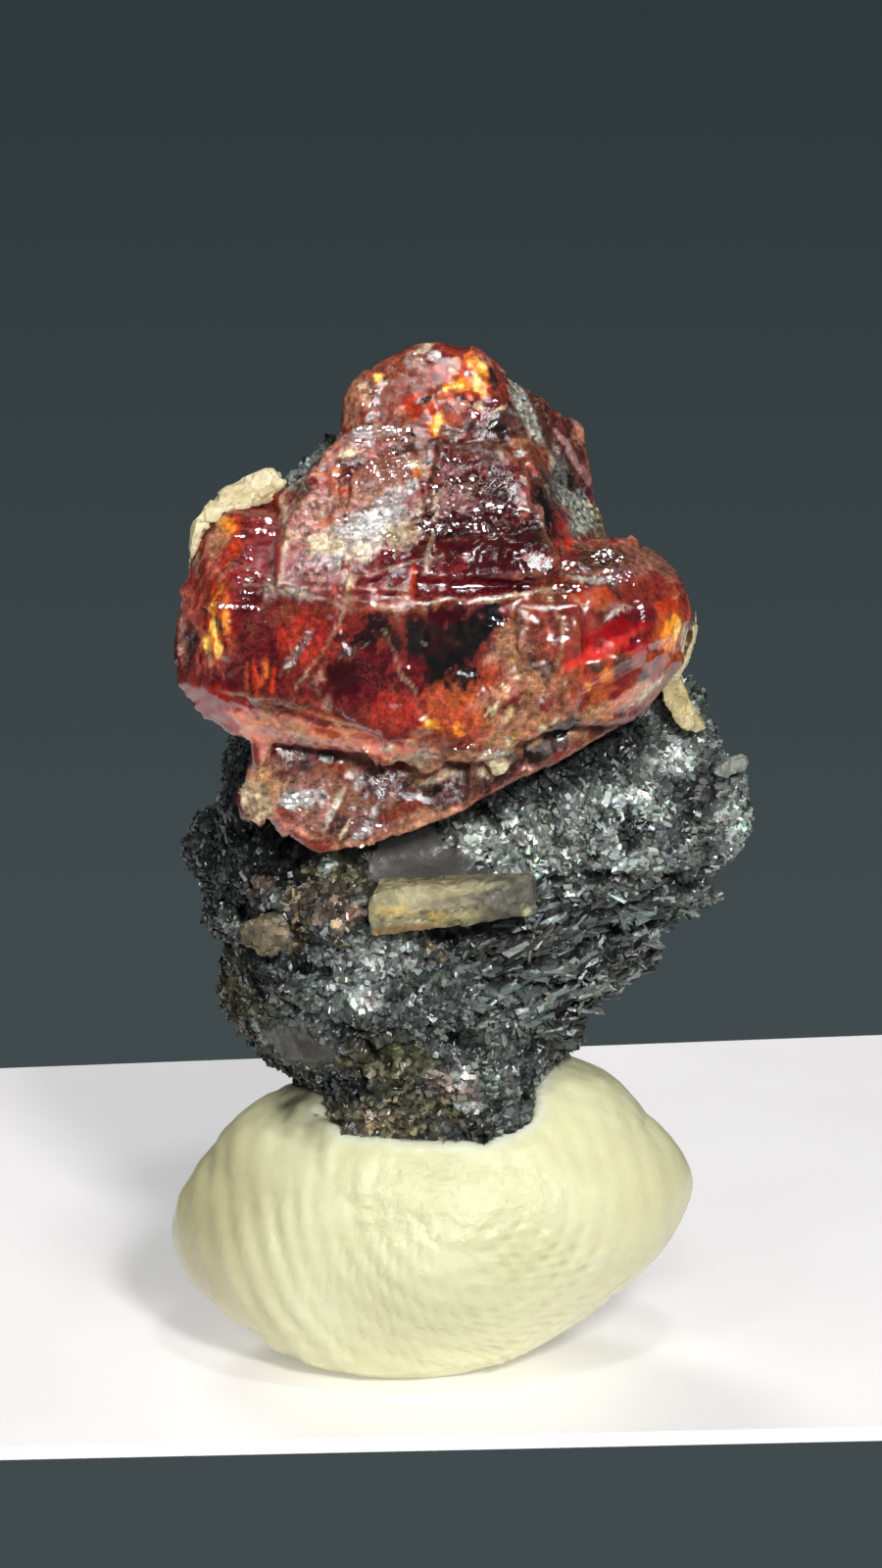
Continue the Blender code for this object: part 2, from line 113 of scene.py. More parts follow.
def facets(places, size, seed, tilt):
    """Heights of a surface broken into flat facets of this size, each tilted its own way.

    Also gives each place the number of its facet, from -1 to 1, and its distance to the edge.
    """
    scaled = places / size
    base = np.floor(scaled).astype(np.int64)
    first, second = np.full(len(places), 9.0), np.full(len(places), 9.0)
    height, number = np.zeros(len(places)), np.zeros(len(places))
    for offset in itertools.product((-1, 0, 1), repeat=3):
        cell = base + offset
        jitter = np.stack([hashed(cell, seed + i) for i in range(3)], axis=1)
        away = scaled - (cell + 0.5 + 0.42 * jitter)
        distance = np.linalg.norm(away, axis=1)
        lean = np.stack([hashed(cell, seed + 5 + i) for i in range(3)], axis=1)
        closest = distance < first
        second = np.where(closest, first, np.minimum(second, distance))
        first = np.where(closest, distance, first)
        height = np.where(closest, (away * lean).sum(axis=1) * size * tilt, height)
        number = np.where(closest, hashed(cell, seed + 9), number)
    return height, number, (second - first) * size


def near(places, spots, wobble=0.25, edge=0.35):
    """How far each place is inside any of some rough-edged ellipsoids, from 0 to 1.

    Each spot is (centre, half sizes) in mm.
    """
    inside = np.zeros(len(places))
    waver = wobble * rough(places, 0.7, 70)
    for centre, half in spots:
        distance = np.linalg.norm((places - centre) / half, axis=1) + waver
        inside = np.maximum(inside, np.clip((1 - distance) / edge + 0.5, 0, 1))
    return inside


def seen(places):
    """Where each place shows in the reference view: mm right of and above the view's middle."""
    offset = places - VIEW_CENTRE
    scale = VIEW_DISTANCE / (VIEW_DISTANCE + offset @ AWAY)
    return np.stack([offset @ RIGHT * scale, offset @ UP * scale], axis=1)


def facing_view(normals):
    """How far each place faces the reference view, from 0 to 1."""
    return np.clip(0.4 - 4 * (normals @ AWAY), 0, 1)


def share_in(flat, zone, waver):
    """How far places in the reference view are inside one rough-edged ellipse, from 0 to 1."""
    across, up, width, height, turn = zone
    angle = math.radians(turn)
    x, y = flat[:, 0] - across, flat[:, 1] - up
    along = (x * math.cos(angle) + y * math.sin(angle)) / width
    aside = (y * math.cos(angle) - x * math.sin(angle)) / height
    return np.clip((1 - np.hypot(along, aside) + waver) / ZONE_EDGE + 0.5, 0, 1)


def marked(places, normals, zones, seed):
    """How far each place is inside any of the zones, from 0 to 1, on what faces the view."""
    flat, waver = seen(places), 0.3 * rough(places, 0.5, seed)
    inside = [share_in(flat, zone, waver) for zone in zones]
    return np.max(inside, axis=0) * facing_view(normals)


def painted(places, normals, rows, styles, zones, seed):
    """Blends zones over rows of numbers, such as a colour and a clearness, one row a place.

    A zone is a style's name, then its middle across and up, half width, half height and turn in
    degrees, as seen in the reference view. Later zones lie over earlier ones.
    """
    flat, upright = seen(places), places * (1.5, 1.5, 0.8)
    waver = 0.3 * rough(upright, 0.45, seed) + 0.4 * rough(upright, 0.17, seed + 21, octaves=2)
    worn = np.clip(1.2 + 0.5 * rough(upright, 0.3, seed + 7), 0.5, 1)
    facing = facing_view(normals) * worn
    for name, *zone in zones:
        share = share_in(flat, zone, waver) * facing
        rows = rows + (styles[name] - rows) * share[:, None]
    return rows


def from_photo(groups):
    """Zones typed in photograph pixels, as mm right of and above the reference view's middle."""
    zones = []
    for name, x, y, width, height, turn in itertools.chain(*groups.values()):
        pixels = (x - PHOTO_MIDDLE[0], PHOTO_MIDDLE[1] - y, width, height)
        zones.append((name, *(round(length / PIXELS_PER_MM, 2) for length in pixels), turn))
    return zones


def wandering(places, size, amount, seed):
    """Where each place shows in the reference view, moved a little by smooth noise."""
    noise = np.stack([rough(places, size, seed), rough(places, size, seed + 3)], axis=1)
    return seen(places) + amount * noise


def gap_to(flat, start, end):
    """The distance in the reference view from each place to a straight line between two others."""
    run = end - start
    along = np.clip((flat - start) @ run / (run @ run), 0, 1)
    return np.linalg.norm(flat - start - np.outer(along, run), axis=1)


def near_lines(places, normals, lines, width):
    """How close each place is to any of some wandering lines in the reference view, from 0 to 1."""
    flat = wandering(places, 0.4, 0.06, 90)
    closeness = np.zeros(len(places))
    for line in lines:
        for start, end in zip(np.array(line), np.array(line)[1:]):
            closeness = np.maximum(closeness, np.clip(1.4 - gap_to(flat, start, end) / width, 0, 1))
    return closeness * facing_view(normals)


def inside_outline(places, normals, corners):
    """How far each place is inside an outline with straight sides in the reference view."""
    flat = wandering(places, 0.3, 0.03, 95)
    gap, inside = np.full(len(flat), 9.0), np.zeros(len(flat), bool)
    for start, end in zip(np.array(corners), np.roll(corners, -1, axis=0)):
        run = end - start
        gap = np.minimum(gap, gap_to(flat, start, end))
        spans = (start[1] > flat[:, 1]) != (end[1] > flat[:, 1])
        crossing = start[0] + (flat[:, 1] - start[1]) * run[0] / (run[1] or 1e-9)
        inside ^= spans & (flat[:, 0] < crossing)
    return np.clip(0.5 + np.where(inside, gap, -gap) / 0.12, 0, 1) * facing_view(normals)


def drifted(places, styles, first, drifts):
    """Rows of one style that drift to others in lumps.

    Each drift is a style, the size of its lumps in mm, a seed, and a level that makes it rarer.
    """
    rows = np.tile(styles[first], (len(places), 1))
    for name, size, seed, least in drifts:
        share = np.clip((rough(places, size, seed) - least) / 0.3, 0, 1)
        rows += (styles[name] - rows) * share[:, None]
    return rows


# ---------------------------------------------------------------- meshes

def mesh_places(obj):
    """The object's points in mm, one row each."""
    flat = np.empty(len(obj.data.vertices) * 3)
    obj.data.vertices.foreach_get("co", flat)
    return flat.reshape(-1, 3) / MM


def mesh_normals(obj):
    """Which way the surface faces at each of the object's points."""
    flat = np.empty(len(obj.data.vertices) * 3)
    obj.data.vertex_normals.foreach_get("vector", flat)
    return flat.reshape(-1, 3)


def set_places(obj, places):
    obj.data.vertices.foreach_set("co", (places * MM).ravel())
    obj.data.update()


def set_values(obj, name, values):
    """Stores a number for each point, for the materials to read."""
    attribute = obj.data.attributes.new(name, "FLOAT", "POINT")
    attribute.data.foreach_set("value", values.astype(np.float32))


def set_colours(obj, rows):
    """Stores a colour for each point, for the materials to read as tint."""
    attribute = obj.data.attributes.new("tint", "FLOAT_COLOR", "POINT")
    with_alpha = np.concatenate([rows, np.ones((len(rows), 1))], axis=1)
    attribute.data.foreach_set("color", with_alpha.astype(np.float32).ravel())


def sharpness(obj, spacing):
    """How far the surface turns outwards at each point: near 1 along an outer edge."""
    ends = np.empty(len(obj.data.edges) * 2, dtype=np.int64)
    obj.data.edges.foreach_get("vertices", ends)
    ends = ends.reshape(-1, 2)
    count = np.bincount(ends.ravel(), minlength=len(obj.data.vertices))

    def spread(values):
        total = np.zeros_like(values)
        np.add.at(total, ends[:, 0], values[ends[:, 1]])
        np.add.at(total, ends[:, 1], values[ends[:, 0]])
        return total / (count[:, None] if values.ndim > 1 else count)

    bend = -((spread(mesh_places(obj)) - mesh_places(obj)) * mesh_normals(obj)).sum(axis=1)
    return np.clip(spread(spread(bend)) / spacing * 6, 0, 1)


def smooth_shaded(obj):
    obj.data.polygons.foreach_set("use_smooth", [True] * len(obj.data.polygons))


def new_object(name, bm, scaled=True):
    """An object from a bmesh, which is in millimetres if scaled."""
    if scaled:
        bmesh.ops.scale(bm, vec=(MM, MM, MM), verts=bm.verts)
    mesh = bpy.data.meshes.new(name)
    bm.to_mesh(mesh)
    bm.free()
    made = bpy.data.objects.new(name, mesh)
    bpy.context.scene.collection.objects.link(made)
    return made


def fine_copy(node, name, spacing, extras=()):
    """A copy of a CAD node, and any extra lumps, as one mesh with points this far apart."""
    bm = bmesh.new()
    bm.from_mesh(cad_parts[node].data)
    bmesh.ops.remove_doubles(bm, verts=bm.verts, dist=1e-6)
    for lump in extras:
        add_hull(bm, [Vector(corner) * MM for corner in lump])
    made = new_object(name, bm, scaled=False)
    remesh = made.modifiers.new("Fine", "REMESH")
    remesh.mode = "VOXEL"
    remesh.voxel_size = spacing * MM
    return applied(made)


def applied(obj):
    """The object with its modifiers made part of its mesh."""
    bpy.context.view_layer.update()
    graph = bpy.context.evaluated_depsgraph_get()
    mesh = bpy.data.meshes.new_from_object(obj.evaluated_get(graph))
    obj.modifiers.clear()
    obj.data = mesh
    return obj


def rounded(obj, share, passes):
    """Rounds off an object's edges, each point by its share."""
    group = obj.vertex_groups.new(name="rounded")
    for index in np.flatnonzero(share > 0.01):
        group.add([int(index)], float(share[index]), "REPLACE")
    smooth = obj.modifiers.new("Round", "SMOOTH")
    smooth.iterations = passes
    smooth.vertex_group = group.name
    applied(obj)


def add_hull(bm, corners):
    """Adds the convex block on these corners."""
    new = [bm.verts.new(corner) for corner in corners]
    bmesh.ops.convex_hull(bm, input=new)
    spare = [v for v in new if not v.link_faces]
    bmesh.ops.delete(bm, geom=spare, context="VERTS")


def surface_tree(obj):
    """A search tree over an object's surface, in metres."""
    mesh = obj.data
    corners = [vertex.co for vertex in mesh.vertices]
    return BVHTree.FromPolygons(corners, [tuple(face.vertices) for face in mesh.polygons])


def unit(rows):
    """Each row scaled to a length of 1."""
    return rows / np.maximum(np.linalg.norm(rows, axis=1), 1e-9)[:, None]


# The six sides of a block whose eight corners are in the order that itertools.product gives.
BLOCK_SIDES = np.array(
    [(0, 1, 3, 2), (4, 6, 7, 5), (0, 4, 5, 1), (2, 3, 7, 6), (0, 2, 6, 4), (1, 5, 7, 3)]
)


def flakes_mesh(name, places, lengthwise, facing, sizes, rng, stretch=1.0, level=False):
    """Many small crystals in one mesh: six-sided flakes with uneven corners.

    Each lies along its lengthwise row with its broad side towards its facing row. sizes is
    (least, most) half length, half width and half thickness in mm. stretch lengthens each, and
    level ones have flat broad sides.
    """
    count = len(places)
    along = unit(lengthwise)
    thick = unit(facing - along * (facing * along).sum(axis=1)[:, None])
    wide = np.cross(thick, along)
    half = [rng.uniform(low, high, count)[:, None] for low, high in sizes]
    half[0] *= np.reshape(stretch, (-1, 1))
    corners = []
    for x, y, z in itertools.product((-1, 1), repeat=3):
        uneven = rng.uniform(0.6, 1.15, (count, 3))
        uneven[:, 2] = 1 if level else uneven[:, 2]
        corner = along * half[0] * x * uneven[:, :1] + wide * half[1] * y * uneven[:, 1:2]
        corners.append(places + corner + thick * half[2] * z * uneven[:, 2:])
    verts = np.stack(corners, axis=1).reshape(-1, 3) * MM
    faces = (BLOCK_SIDES[None] + 8 * np.arange(count)[:, None, None]).reshape(-1, 4)
    mesh = bpy.data.meshes.new(name)
    mesh.from_pydata(verts.tolist(), [], faces.tolist())
    made = bpy.data.objects.new(name, mesh)
    bpy.context.scene.collection.objects.link(made)
    return made


def scattered(obj, count, rng, keep):
    """Random places on an object's surface, even by area, with their normals, where keep says."""
    mesh = obj.data
    mesh.calc_loop_triangles()
    corners = np.array([t.vertices[:] for t in mesh.loop_triangles])
    co = mesh_places(obj)
    a, b, c = co[corners[:, 0]], co[corners[:, 1]], co[corners[:, 2]]
    cross = np.cross(b - a, c - a)
    area = np.linalg.norm(cross, axis=1)
    picks = rng.choice(len(area), size=count, p=area / area.sum())
    u, v = rng.random((2, count))
    flip = u + v > 1
    u[flip], v[flip] = 1 - u[flip], 1 - v[flip]
    places = a[picks] + (b - a)[picks] * u[:, None] + (c - a)[picks] * v[:, None]
    normals = cross[picks] / area[picks][:, None]
    kept = keep(places, normals)
    return places[kept], normals[kept]


# ---------------------------------------------------------------- materials

def new_material(name, **values):
    """A material with a Principled shader set to these plain values."""
    made = bpy.data.materials.new(name)
    made.use_nodes = True
    tree = made.node_tree
    shader = tree.nodes["Principled BSDF"]
    for key, value in values.items():
        shader.inputs[key.replace("_", " ")].default_value = value
    return made, tree, shader


def node(tree, kind, inputs=None, **settings):
    """Adds a node; an input is given a plain value or linked to another node's output."""
    made = tree.nodes.new("ShaderNode" + kind)
    for key, value in settings.items():
        setattr(made, key, value)
    for key, value in (inputs or {}).items():
        if isinstance(value, bpy.types.NodeSocket):
            tree.links.new(value, made.inputs[key])
        else:
            made.inputs[key].default_value = value
    return made


def value_at(tree, name):
    return node(tree, "Attribute", attribute_name=name).outputs["Fac"]


def tint_at(tree):
    return node(tree, "Attribute", attribute_name="tint").outputs["Color"]


def mixed(tree, factor, low, high):
    """One colour turning into another as factor goes from 0 to 1."""
    sides = [(*c, 1) if isinstance(c, tuple) else c for c in (low, high)]
    mix = node(tree, "Mix", {0: factor, 6: sides[0], 7: sides[1]}, data_type="RGBA")
    return mix.outputs[2]


def ramp(tree, value, stops):
    """A number or grey passed through (place, level) stops."""
    made = node(tree, "ValToRGB", {"Fac": value})
    bar = made.color_ramp
    while len(bar.elements) < len(stops):
        bar.elements.new(0.5)
    for element, (place, level) in zip(bar.elements, stops):
        colour = level if isinstance(level, tuple) else (level, level, level)
        element.position = place
        element.color = (*colour, 1)
    return made.outputs["Color"]


def math_node(tree, operation, first, second):
    made = node(tree, "Math", {0: first, 1: second}, operation=operation)
    return made.outputs[0]


def times(tree, first, second):
    return math_node(tree, "MULTIPLY", first, second)


def plus(tree, first, second):
    return math_node(tree, "ADD", first, second)


def minus(tree, first, second):
    return math_node(tree, "SUBTRACT", first, second)


def noise_value(tree, size, detail, roughness=0.6, stretch=None):
    """Noise in the object's own space, with lumps of about this size in mm."""
    where = node(tree, "TexCoord").outputs["Object"]
    if stretch:
        where = node(tree, "Mapping", {"Vector": where, "Scale": stretch}).outputs["Vector"]
    made = node(
        tree, "TexNoise",
        {"Vector": where, "Scale": 1 / (size * MM), "Detail": detail, "Roughness": roughness},
    )
    return made.outputs["Fac"]


def cells(tree, size, stretch=(1, 1, 1), turn=(0, 0, 0)):
    """Crystal grains of about this size in mm: a height with a tilted flat top on each grain,
    a number for each grain, and how near its edge a place is."""
    where = node(tree, "TexCoord").outputs["Object"]
    scale = [amount / (size * MM) for amount in stretch]
    where = node(tree, "Mapping", {"Vector": where, "Rotation": turn, "Scale": scale}).outputs["Vector"]
    grain = node(tree, "TexVoronoi", {"Vector": where, "Scale": 1.0})
    offset = node(tree, "VectorMath", {0: where, 1: grain.outputs["Position"]}, operation="SUBTRACT")
    lean = node(tree, "VectorMath", {0: grain.outputs["Color"], 1: (0.5, 0.5, 0.5)}, operation="SUBTRACT")
    top = node(tree, "VectorMath", {0: offset.outputs[0], 1: lean.outputs[0]}, operation="DOT_PRODUCT")
    number = node(tree, "SeparateColor", {0: grain.outputs["Color"]}).outputs[0]
    return top.outputs["Value"], number, grain.outputs["Distance"]


def brightened(tree, colour, value):
    """The colour with its brightness multiplied by value."""
    return node(tree, "HueSaturation", {"Color": colour, "Value": value}).outputs["Color"]


def bump(tree, under, height, strength, depth):
    """Adds relief, with its depth in mm, to a shader or to another bump."""
    made = node(tree, "Bump", {"Height": height, "Strength": strength, "Distance": depth * MM})
    tree.links.new(made.outputs["Normal"], under.inputs["Normal"])
    return made


def translucent(shader, weight, radius):
    """Softens light under the surface: how much, and how many mm red, green and blue go."""
    shader.inputs["Subsurface Weight"].default_value = weight
    shader.inputs["Subsurface Radius"].default_value = [length * MM for length in radius]
    shader.inputs["Subsurface Scale"].default_value = 1.0


# ---------------------------------------------------------------- zircon

def style(red, green, blue, *qualities):
    """A zone's colour as screen values, then its other numbers, as one row."""
    return np.array((*linear(red, green, blue), *qualities))


ZIRCON_IOR = 1.95
# What the crystal's glass takes out of light: the colour it leaves, and how fast, per metre.
ABSORPTION_COLOUR = (0.93, 0.45, 0.36, 1)
ABSORPTION_DENSITY = 420.0
# Fine pale threads of healed cracks.
THREAD_COLOUR = linear(226, 178, 150)
THREAD_SPACING = 0.24

# The crystal's looks: colour, clearness, graininess, dullness and a painted glow: light of its own that
# stands in for light shining through.
ZIRCON_STYLES = {
    "garnet": style(158, 56, 46, 0.35, 0.12, 0.05, 0.0),
    "garnet_deep": style(166, 58, 48, 0.25, 0.15, 0.1, 0.0),
    "garnet_bright": style(196, 58, 44, 0.3, 0.14, 0.05, 0.0),
    "wine": style(122, 28, 36, 0.4, 0.1, 0.0, 0.0),
    "wine_deep": style(84, 12, 24, 0.5, 0.06, 0.0, 0.0),
    "wine_foot": style(100, 20, 28, 0.4, 0.12, 0.05, 0.0),
    "wine_pink": style(176, 52, 58, 0.4, 0.15, 0.3, 0.0),
    "crimson": style(205, 12, 28, 0.45, 0.08, 0.0, 0.0),
    "coral": style(240, 64, 52, 0.3, 0.06, 0.0, 0.05),
    "flame": style(226, 72, 30, 0.35, 0.1, 0.0, 0.05),
    "ember": style(212, 92, 52, 0.3, 0.1, 0.1, 0.04),
    "amber": style(252, 148, 44, 0.15, 0.12, 0.0, 0.25),
    "gold": style(255, 206, 104, 0.05, 0.1, 0.0, 0.45),
    # Painted light: a lighter red for the far left face, which is turned from the key light.
    "rosy_painted_light": style(214, 108, 84, 0.2, 0.12, 0.1, 0.05),
    "saddle_low": style(132, 56, 48, 0.2, 0.12, 0.0, 0.0),
    "saddle": style(150, 74, 54, 0.15, 0.2, 0.05, 0.0),
    "russet": style(152, 70, 48, 0.25, 0.2, 0.05, 0.0),
    "russet_pale": style(178, 102, 82, 0.2, 0.4, 0.15, 0.0),
    "dusk": style(186, 128, 110, 0.15, 0.7, 0.2, 0.0),
    "dusk_dark": style(172, 112, 92, 0.25, 0.2, 0.05, 0.0),
    "umber": style(92, 50, 40, 0.3, 0.3, 0.2, 0.0),
    "mauve": style(158, 104, 102, 0.2, 0.8, 0.1, 0.0),
    "plum": style(92, 44, 46, 0.35, 0.3, 0.05, 0.0),
    "veil": style(172, 128, 124, 0.15, 0.2, 0.3, 0.0),
    # Part painted light: the bevel's own pink, made paler and given a little painted glow for the floor's
    # light on its downward face.
    "rose": style(255, 156, 130, 0.12, 0.0, 0.05, 0.06),
    "rose_deep": style(184, 32, 20, 0.2, 0.0, 0.05, 0.0),
    "shade": style(72, 44, 38, 0.2, 0.3, 0.5, 0.0),
    "salmon": style(236, 158, 130, 0.15, 0.1, 0.1, 0.0),
    "tan": style(192, 130, 94, 0.15, 0.3, 0.2, 0.0),
    "honey": style(232, 160, 108, 0.25, 0.2, 0.1, 0.0),
    "honey_pale": style(240, 200, 150, 0.2, 0.2, 0.1, 0.1),
    # Pale cream crystal, also used in small spots as a painted highlight.
    "cream": style(242, 218, 178, 0.05, 0.25, 0.25, 0.0),
    "cream_dim": style(196, 168, 130, 0.1, 0.5, 0.3, 0.0),
    # Pale frosted crystal, these two also used in small spots as painted highlights where white glints are.
    "frost_and_glint": style(206, 190, 184, 0.1, 1.0, 0.3, 0.0),
    "frost_core_and_glint": style(236, 230, 224, 0.0, 0.8, 0.3, 0.0),
    "ash": style(160, 162, 150, 0.0, 1.0, 0.4, 0.0),
    "ash_dark": style(104, 102, 100, 0.0, 0.8, 0.4, 0.0),
    "olive": style(142, 138, 100, 0.1, 1.0, 0.35, 0.0),
    "smoke": style(60, 28, 30, 0.3, 0.12, 0.0, 0.0),
    "coal": style(24, 17, 17, 0.05, 0.05, 0.05, 0.0),
}
